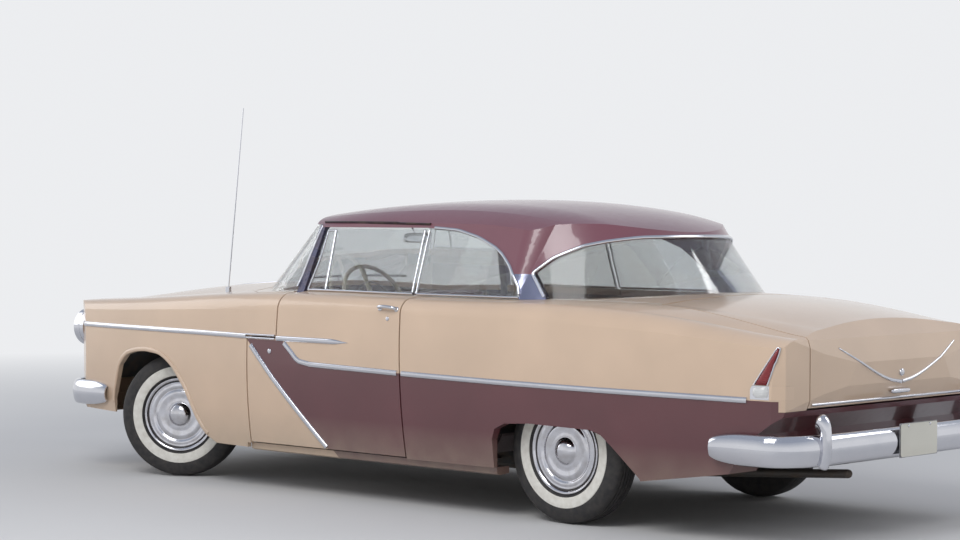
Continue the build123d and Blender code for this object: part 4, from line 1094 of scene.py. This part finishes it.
# The bumper bar's place and depth, the steps over which its ends taper, and its section as
# (outward, up) from its line
BUMPER_BACK_Y = 2.546
BUMPER_DEPTH = 0.0345
BUMPER_TAPER_STEPS = 9
BUMPER_SHEET = [(0.000, -0.065), (0.009, -0.069), (0.019, -0.064), (0.0265, -0.050), (0.0315, -0.031),
                (0.0345, -0.010), (0.0350, 0.008), (0.0330, 0.026), (0.0285, 0.043), (0.0210, 0.058),
                (0.0115, 0.068), (0.0010, 0.070), (-0.0060, 0.065), (-0.0030, 0.060), (0.0080, 0.057),
                (0.0170, 0.044), (0.0245, 0.022), (0.0270, 0.002), (0.0240, -0.026), (0.0140, -0.052),
                (0.0030, -0.060)]


def bumper_line(back, side_x, side_y):
    """Half of a bumper's line in plan, from the middle to its wrapped end."""
    rough = [(0.0, back), (0.30, back), (0.60, back), (side_x - 0.160, back - 0.008),
             (side_x - 0.060, back - 0.050), (side_x - 0.008, back - 0.115), (side_x, back - 0.20),
             (side_x, side_y)]
    return resample(smoothed([(x, y, 0.0) for x, y in rough], 3), 0.02)


def guard_swell(share):
    """Thickness of a bumper guard along its spine: rounded foot, slim shank and a plump horn."""
    ends = min(1.0, (share / 0.10) ** 0.5, ((1.0 - share) / 0.14) ** 0.5)
    horn = min(1.0, max(0.0, (share - 0.55) / 0.25))
    return max(0.12, ends * (0.88 + 0.34 * horn))


class DRESS_OT_bumpers(bpy.types.Operator):
    """Makes the bumper bars as curved sheets with wrapped ends, with their guards"""
    bl_idname = "dress.bumpers"
    bl_label = "Bumpers"

    def execute(self, context):
        spine = [(2.556, -0.078), (2.572, -0.040), (2.578, 0.020), (2.576, 0.080), (2.560, 0.122),
                 (2.536, 0.134)]
        # node, sense along y, height of the middle, guards' x
        for node, sense, z_mid, guard_x in (("rear_bumper", 1, 0.436, 0.715),
                                            ("front_bumper", -1, 0.440, 0.42)):
            low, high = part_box(node)
            end_y = low.y if sense > 0 else -high.y
            half = bumper_line(BUMPER_BACK_Y, high.x - BUMPER_DEPTH, end_y)
            line = [Vector((-p.x, p.y, 0)) for p in reversed(half[1:])] + half
            rings = []
            for i, place in enumerate(line):
                ahead = (line[min(i + 1, len(line) - 1)] - line[max(i - 1, 0)]).normalized()
                out = Vector((-ahead.y, ahead.x, 0))
                from_end = min(i, len(line) - 1 - i, BUMPER_TAPER_STEPS) / BUMPER_TAPER_STEPS
                grow = 0.62 + 0.38 * math.sin(from_end * math.pi / 2) ** 0.6
                for u, v in BUMPER_SHEET:
                    spot = place + out * (u * (0.35 + 0.65 * grow))
                    rings.append(Vector((spot.x, sense * spot.y, z_mid + v * grow)))
            made = new_piece(f"{node}_bar", rings, capped(len(line), len(BUMPER_SHEET)), bright(), "car_body",
                             crease=60)
            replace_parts(made, node)
            for side, label in SIDE_NAMES.items():
                path = [(side * guard_x, sense * y, z_mid + z) for y, z in spine]
                tube(f"{node}_guard_{label}", path, 0.0285, segments=24, taper=guard_swell)
        return {"FINISHED"}


class DRESS_OT_plate(bpy.types.Operator):
    """Hangs a blank number plate with two bolts on the rear bumper's holder"""
    bl_idname = "dress.plate"
    bl_label = "Blank plate"

    def execute(self, context):
        _, bumper_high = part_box("rear_bumper")
        finish = paint("plate_paint", (0.62, 0.6, 0.52))
        steel = shared("holder_steel", dull_metal, (0.3, 0.3, 0.32))
        frame_piece("plate_holder", oblong(2.5845, 0.367, 2.5875, 0.521), -0.155, 0.155, steel, soft=0.001)
        frame_piece("plate_bracket", oblong(2.556, 0.416, 2.586, 0.456), -0.12, 0.12, steel)
        middle = Vector((0, bumper_high.y + 0.0012, 0.444))
        half_width, half_height, corner = 0.150, 0.074, 0.012
        outline = []
        for start, cx, cz in ((0, 1, 1), (90, -1, 1), (180, -1, -1), (270, 1, -1)):
            for step in range(5):
                turn = math.radians(start + 22.5 * step)
                outline.append((cx * (half_width - corner) + corner * math.cos(turn),
                                cz * (half_height - corner) + corner * math.sin(turn)))
        rings = []
        levels = [(0.0, 1.0), (0.0014, 1.0), (0.0020, 0.985), (0.0010, 0.955), (0.0010, 0.93), (0.0010, 0.0)]
        for depth, grow in levels:
            rings += [middle + Vector((x * grow, depth, z * grow)) for x, z in outline]
        faces = grid_faces(len(levels), len(outline), closed_columns=True)
        faces.append(tuple(range(len(outline))))
        new_piece("blank_plate", rings, faces, finish, "car_body", crease=30)
        for x in (-0.089, 0.089):
            seat = Vector((x, bumper_high.y + 0.0025, 0.508))
            ring_plate(f"plate_bolt_{'left' if x > 0 else 'right'}", seat, Vector((0, 1, 0)), 0.006, 0.004,
                       segments=12)
        return {"FINISHED"}


class DRESS_OT_wipers(bpy.types.Operator):
    """Parks two wipers on the windshield's base and sets the mirror inside the header"""
    bl_idname = "dress.wipers"
    bl_label = "Wipers and mirror"

    def execute(self, context):
        rubber = shared("seal_rubber", vinyl, (0.015, 0.015, 0.016))
        for side, label in SIDE_NAMES.items():
            blade = [cast(FRONT_SKIN, *level_ray(-0.4, -90 + side * angle, z)) for angle, z in
                     ((6, 1.105), (14, 1.104), (22, 1.102), (30, 1.100))]
            hit_strip(f"wiper_blade_{label}", [(p + n * 0.006, n) for p, n in blade], 0.007, 0.008,
                      material=rubber)
            base = blade[0][0]
            foot = Vector((base.x, base.y - 0.030, 1.082))
            arm = [foot, foot + Vector((0, 0.004, 0.022)), blade[1][0] + blade[1][1] * 0.014,
                   blade[2][0] + blade[2][1] * 0.012]
            tube(f"wiper_arm_{label}", arm, 0.0032)
            ring_plate(f"wiper_pivot_{label}", foot + Vector((0, 0, -0.004)), Vector((0, 0, 1)), 0.011, 0.012)
        stem = Vector((0, -0.655, 1.392))
        bent = [stem, stem + Vector((0, 0.02, -0.030)), stem + Vector((0, 0.035, -0.052))]
        tube("mirror_stem", bent, 0.005)
        rounded_bar("mirror_case", (0.098, 0.010, 0.027), stem + Vector((0, 0.042, -0.066)))
        return {"FINISHED"}


class DRESS_OT_seats(bpy.types.Operator):
    """Stuffs the bench cushions and backs with cloth simulation and sews their channels"""
    bl_idname = "dress.seats"
    bl_label = "Seats"

    def execute(self, context):
        cloth = woven("seat_weave", (0.30, 0.20, 0.16), (0.15, 0.05, 0.055))
        board = vinyl("seat_board", (0.09, 0.04, 0.04))
        front_low = [(-0.424, 0.434), (-0.426, 0.548), (-0.372, 0.586), (-0.180, 0.574), (0.006, 0.556),
                     (0.018, 0.434)]
        front_back = [(0.048, 0.452), (0.034, 0.600), (0.078, 0.810), (0.122, 1.002), (0.180, 1.010),
                      (0.186, 0.600), (0.168, 0.452)]
        rear_low = [(0.484, 0.438), (0.484, 0.578), (0.526, 0.604), (0.690, 0.586), (0.836, 0.566),
                    (0.828, 0.540), (0.772, 0.514), (0.686, 0.438)]
        rear_back = [(0.866, 0.606), (0.886, 0.790), (0.908, 0.964), (0.952, 0.972), (0.966, 0.602),
                     (0.925, 0.536), (0.876, 0.530)]
        # name, outline in y and z, x from, x to
        front = [("front_cushion", front_low, -0.622, 0.622), ("front_back_left", front_back, 0.012, 0.622),
                 ("front_back_right", front_back, -0.622, -0.012)]
        rear = [("rear_cushion", rear_low, -0.542, 0.542), ("rear_back", rear_back, -0.542, 0.542)]
        for seat, cushions in (("front_seat", front), ("rear_seat", rear)):
            for name, outline, x_from, x_to in cushions:
                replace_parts(stuffed(name, outline, x_from, x_to, cloth), seat)
        base = frame_piece("front_seat_base", [(-0.40, 0.345), (-0.41, 0.430), (0.16, 0.440), (0.15, 0.345)],
                           -0.600, 0.600, board)
        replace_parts(base, "front_seat")
        for x in (-0.42, 0.42):
            frame_piece(f"seat_runner_{'left' if x > 0 else 'right'}", oblong(-0.36, 0.311, 0.10, 0.346),
                        x - 0.025, x + 0.025, bright())
        base = frame_piece("rear_seat_base", [(0.500, 0.312), (0.500, 0.436), (0.660, 0.436), (0.650, 0.312)],
                           -0.520, 0.520, board)
        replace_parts(base, "rear_seat")
        return {"FINISHED"}


def oblong(y_from, z_from, y_to, z_to):
    return [(y_from, z_from), (y_to, z_from), (y_to, z_to), (y_from, z_to)]


def outline_mesh(outline, x_from, x_to):
    """Corners and faces of an outline in (y, z) carried across the car."""
    count = len(outline)
    verts = [(x, y, z) for x in (x_from, x_to) for y, z in outline]
    faces = [(i, (i + 1) % count, count + (i + 1) % count, count + i) for i in range(count)]
    faces += [tuple(range(count)), tuple(range(count, 2 * count))]
    return verts, faces


def frame_piece(name, outline, x_from, x_to, material, soft=0.006):
    """A plain board or rail with softened edges."""
    verts, faces = outline_mesh(outline, x_from, x_to)
    made = new_piece(name, verts, faces, material, "car_body", smooth=False)
    soften = made.modifiers.new("soft_edges", "BEVEL")
    soften.width = soft
    soften.segments = 2
    return made


def baked(made):
    """Takes a piece's modifiers into its mesh, and returns the mesh."""
    graph = bpy.context.evaluated_depsgraph_get()
    mesh = bpy.data.meshes.new_from_object(made.evaluated_get(graph))
    made.modifiers.clear()
    made.data = mesh
    return mesh


CUSHION_VOXEL = 0.011
CUSHION_PRESSURE = 4.0
CUSHION_FRAMES = 20
SWELL_CAP = 0.011
CHANNEL_PITCH = 0.078
CHANNEL_DEPTH = 0.006
CHANNEL_FADE = 0.05


def stuffed(name, outline, x_from, x_to, material):
    """A cushion that is swollen by pressure, capped, and sewn in channels along the car."""
    verts, faces = outline_mesh(outline, x_from, x_to)
    made = new_piece(name, verts, faces, material, "car_body")
    grid = made.modifiers.new("grid", "REMESH")
    grid.mode = "VOXEL"
    grid.voxel_size = CUSHION_VOXEL
    mesh = baked(made)
    rest = [v.co.copy() for v in mesh.vertices]
    scene = bpy.context.scene
    cloth = made.modifiers.new("swell", "CLOTH")
    cloth.settings.use_pressure = True
    cloth.settings.uniform_pressure_force = CUSHION_PRESSURE
    cloth.settings.effector_weights.gravity = 0.0
    for step in range(1, CUSHION_FRAMES + 1):
        scene.frame_set(step)
        bpy.context.evaluated_depsgraph_get()
    mesh = baked(made)
    scene.frame_set(1)
    middle = (x_from + x_to) / 2
    for vertex, start in zip(mesh.vertices, rest):
        shift = vertex.co - start
        if shift.length > SWELL_CAP:
            vertex.co = start + shift * (SWELL_CAP / shift.length)
        inner = min(vertex.co.x - x_from, x_to - vertex.co.x)
        across = (vertex.co.x - middle) / CHANNEL_PITCH
        seam = max(0.0, math.cos(2 * math.pi * across)) ** 8 * min(1.0, max(0.0, inner / CHANNEL_FADE))
        vertex.co -= vertex.normal * CHANNEL_DEPTH * seam
    finer = made.modifiers.new("finer", "SUBSURF")
    finer.levels = finer.render_levels = 1
    mesh = baked(made)
    for polygon in mesh.polygons:
        polygon.use_smooth = True
    mesh.materials.clear()
    mesh.materials.append(material)
    return made


class DRESS_OT_trim_boards(bpy.types.Operator):
    """Lines the doors and the roof inside, with armrests"""
    bl_idname = "dress.trim_boards"
    bl_label = "Inner trim"

    def execute(self, context):
        board = vinyl("door_board", (0.16, 0.05, 0.06))
        levels = spread(0.350, 0.965, 12)
        for side, label in SIDE_NAMES.items():
            door = f"door_{label}"
            inner = tree_of([f"door_panel_{label}"])
            away = Vector((-side, 0, 0))
            starts = [[(side * 0.2, y, z) for y in spread(-0.640, 0.150, 20)] for z in levels]
            sheet = lined(f"door_trim_{label}", inner, starts, (side, 0, 0),
                          lambda i, j: 0.007 if j % 2 == 0 and 0.45 < levels[i] < 0.75 else 0.004, board,
                          door)
            thicken(sheet, 0.003)
            rest, _ = cast(inner, (side * 0.2, -0.15, 0.70), (side, 0, 0))
            rounded_bar(f"armrest_{label}", (0.024, 0.150, 0.020), rest + away * 0.026, door, material=board)
            crank, _ = cast(inner, (side * 0.2, -0.42, 0.74), (side, 0, 0))
            ring_plate(f"window_crank_root_{label}", crank + away * 0.006, away, 0.018, 0.014, door)
            arm = [crank + away * 0.018, crank + away * 0.026 + Vector((0, -0.05, -0.02)),
                   crank + away * 0.034 + Vector((0, -0.09, -0.03))]
            tube(f"window_crank_{label}", arm, 0.005, door)
        starts = [[(x, y, 1.20) for x in spread(-0.500, 0.500, 24)] for y in spread(-0.560, 1.060, 30)]
        lined("headliner", ROOF_METAL, starts, (0, 0, 1), lambda i, j: 0.007 if i % 6 == 0 else 0.004,
              vinyl("roof_lining", (0.50, 0.42, 0.33)))
        return {"FINISHED"}


class DRESS_OT_dash_details(bpy.types.Operator):
    """Sets the instruments, knobs and trim strip on the dashboard and the horn ring on the wheel"""
    bl_idname = "dress.dash_details"
    bl_label = "Dashboard details"

    def execute(self, context):
        dash = tree_of(["dashboard"])
        forward = (0, -1, 0)
        wheel_joint = JOINTS["steering_wheel_turn"]
        centre, axis = Vector(wheel_joint["pos_m"]), Vector(wheel_joint["axis"]).normalized()
        if axis.y < 0:
            axis = -axis
        place, out = cast(dash, (centre.x, 0.0, 0.945), forward)
        ring_plate("dial_face", place, out, 0.062, 0.006, segments=48,
                   material=shared("dial_black", vinyl, (0.02, 0.02, 0.022)))
        ring = [(0.062, -0.002), (0.070, -0.002), (0.070, 0.009), (0.066, 0.012), (0.062, 0.009)]
        revolved("dial_ring", ring, place, out, bright(), "car_body", 64)
        for i, x in enumerate((-0.22, -0.12, 0.0, 0.10, 0.19)):
            ring_plate(f"dash_knob_{i}", *cast(dash, (x, 0.0, 0.915), forward), 0.012, 0.022)
        band = [cast(dash, (x, 0.0, 0.985), forward) for x in spread(-0.66, 0.66, 23)]
        hit_strip("dash_strip", band, 0.014, 0.006)
        across = axis.cross(Vector((1, 0, 0))).normalized()
        side = across.cross(axis).normalized()
        arc = [side * (0.120 * math.cos(turn)) + across * (0.120 * math.sin(turn)) + axis * 0.004
               for turn in spread(math.radians(200), math.radians(340), 25)]
        spokes = [[axis * 0.010 + end * 0.35] for end in (arc[0], arc[-1])]
        tube("horn_ring", [centre + p for p in spokes[0] + arc + spokes[1]], 0.0035, "steering", rounds=1)
        ring_plate("horn_button", centre + axis * 0.008, axis, 0.030, 0.014, "steering", 48)
        return {"FINISHED"}


class DRESS_OT_stage(bpy.types.Operator):
    """Sets the floor, the lights and the camera"""
    bl_idname = "dress.stage"
    bl_label = "Stage"

    def execute(self, context):
        lay_floor()
        light_scene()
        set_camera()
        return {"FINISHED"}


PALE = (0.84, 0.85, 0.87)
FLOOR_REACH = 60.0
FLOOR_FADE = (4.5, 13.0)


def lay_floor():
    """A pale floor that shows the shadow near the car and fades into the backdrop's colour."""
    mesh = bpy.data.meshes.new("studio_floor")
    corners = [(x * FLOOR_REACH, y * FLOOR_REACH, 0) for x, y in ((-1, -1), (1, -1), (1, 1), (-1, 1))]
    mesh.from_pydata(corners, [], [(0, 1, 2, 3)])
    floor = bpy.data.objects.new("studio_floor", mesh)
    bpy.context.scene.collection.objects.link(floor)
    finish = Finish("pale_floor", metallic=0.0, emission_strength=1.0, ior=1.0)
    far = finish.vectors("LENGTH", finish.place).ramp(*FLOOR_FADE)
    near = finish.mix(finish.noise(0.6), rgb((0.60, 0.59, 0.58)), rgb((0.64, 0.63, 0.62)))
    finish.set("Base Color", finish.mix(far, near, rgb((0, 0, 0))))
    finish.set("Emission Color", finish.mix(far, rgb((0, 0, 0)), rgb(PALE)))
    finish.set("Roughness", finish.noise(4.0) * 0.1 + 0.7)
    finish.set("Specular IOR Level", 0.05)
    mesh.materials.append(finish.material)


def light_scene():
    """A pale surround that darkens overhead, so that bright metal has something to show, and soft lamps."""
    world = bpy.data.worlds.new("studio_world")
    bpy.context.scene.world = world
    world.use_nodes = True
    sky = Nodes(world.node_tree)
    back = sky.tree.nodes["Background"]
    height = sky.axes(sky.signal(sky.node("ShaderNodeTexCoord"), "Generated"))[2]
    shade = sky.mix(height.ramp(0.16, 0.62), rgb(PALE), rgb((0.40, 0.44, 0.52)))
    feed(sky.tree, back.inputs["Color"], shade)
    back.inputs["Strength"].default_value = 1.0
    # name, place, aim, size, power
    for name, place, aim, size, power in [
        ("key_light", (6.5, 2.0, 6.5), (0, 0, 0.6), 4.0, 330.0),
        ("back_light", (-5.0, 6.0, 5.5), (0, 0.5, 0.6), 4.0, 150.0),
        ("fill_light", (3.0, -8.0, 4.0), (0, 0, 0.6), 5.0, 110.0),
    ]:
        lamp = bpy.data.lights.new(name, "AREA")
        lamp.size = size
        lamp.energy = power
        made = bpy.data.objects.new(name, lamp)
        bpy.context.scene.collection.objects.link(made)
        made.location = place
        made.rotation_euler = (Vector(aim) - Vector(place)).to_track_quat("-Z", "Y").to_euler()


# The photograph's camera, solved from the car's own points
CAMERA_PLACE = (9.0006, 8.2885, 1.4369)
CAMERA_AZIMUTH = 133.112
CAMERA_PITCH = 1.290
CAMERA_ROLL = 0.193
FOCAL_PIXELS = 2315.6
PHOTO_WIDTH = 960
SENSOR_WIDTH = 36.0


def set_camera():
    camera = bpy.data.cameras.new("photo_camera")
    camera.sensor_width = SENSOR_WIDTH
    camera.lens = FOCAL_PIXELS / PHOTO_WIDTH * SENSOR_WIDTH
    made = bpy.data.objects.new("photo_camera", camera)
    bpy.context.scene.collection.objects.link(made)
    azimuth, pitch, roll = (math.radians(v) for v in (CAMERA_AZIMUTH, CAMERA_PITCH, CAMERA_ROLL))
    back = Vector((math.sin(azimuth) * math.cos(pitch), -math.cos(azimuth) * math.cos(pitch),
                   math.sin(pitch)))
    right = (-back).cross(Vector((0, 0, 1))).normalized()
    up = right.cross(-back)
    turned_right = right * math.cos(roll) + up * math.sin(roll)
    turned_up = up * math.cos(roll) - right * math.sin(roll)
    turn = Matrix((turned_right, turned_up, back)).transposed().to_4x4()
    made.matrix_world = Matrix.Translation(CAMERA_PLACE) @ turn
    bpy.context.scene.camera = made
    bpy.context.scene.view_settings.view_transform = "Standard"


class DRESS_PT_panel(bpy.types.Panel):
    """Lists the dressing steps"""
    bl_idname = "DRESS_PT_panel"
    bl_label = "Classic Car"
    bl_space_type = "VIEW_3D"
    bl_region_type = "UI"
    bl_category = "Classic Car"

    def draw(self, context):
        for label in DRESS_PG_car.__annotations__:
            self.layout.prop(context.scene.classic_car, label)
        for step in STEPS:
            self.layout.operator(step.bl_idname)


STEPS = [
    DRESS_OT_paintwork, DRESS_OT_brightwork, DRESS_OT_glazing, DRESS_OT_underside, DRESS_OT_cabin,
    DRESS_OT_tyres, DRESS_OT_covers, DRESS_OT_side_trim, DRESS_OT_window_trim, DRESS_OT_arch_lips,
    DRESS_OT_handles, DRESS_OT_lamps, DRESS_OT_ornaments, DRESS_OT_bumpers, DRESS_OT_plate,
    DRESS_OT_wipers, DRESS_OT_seats, DRESS_OT_trim_boards, DRESS_OT_dash_details, DRESS_OT_stage,
]


def register():
    for cls in (DRESS_PG_car, *STEPS, DRESS_PT_panel):
        bpy.utils.register_class(cls)
    bpy.types.Scene.classic_car = bpy.props.PointerProperty(type=DRESS_PG_car)


def unregister():
    del bpy.types.Scene.classic_car
    for cls in (DRESS_PT_panel, *reversed(STEPS), DRESS_PG_car):
        bpy.utils.unregister_class(cls)


def main():
    register()
    for step in STEPS:
        space, name = step.bl_idname.split(".")
        getattr(getattr(bpy.ops, space), name)()


if __name__ == "__main__":
    main()
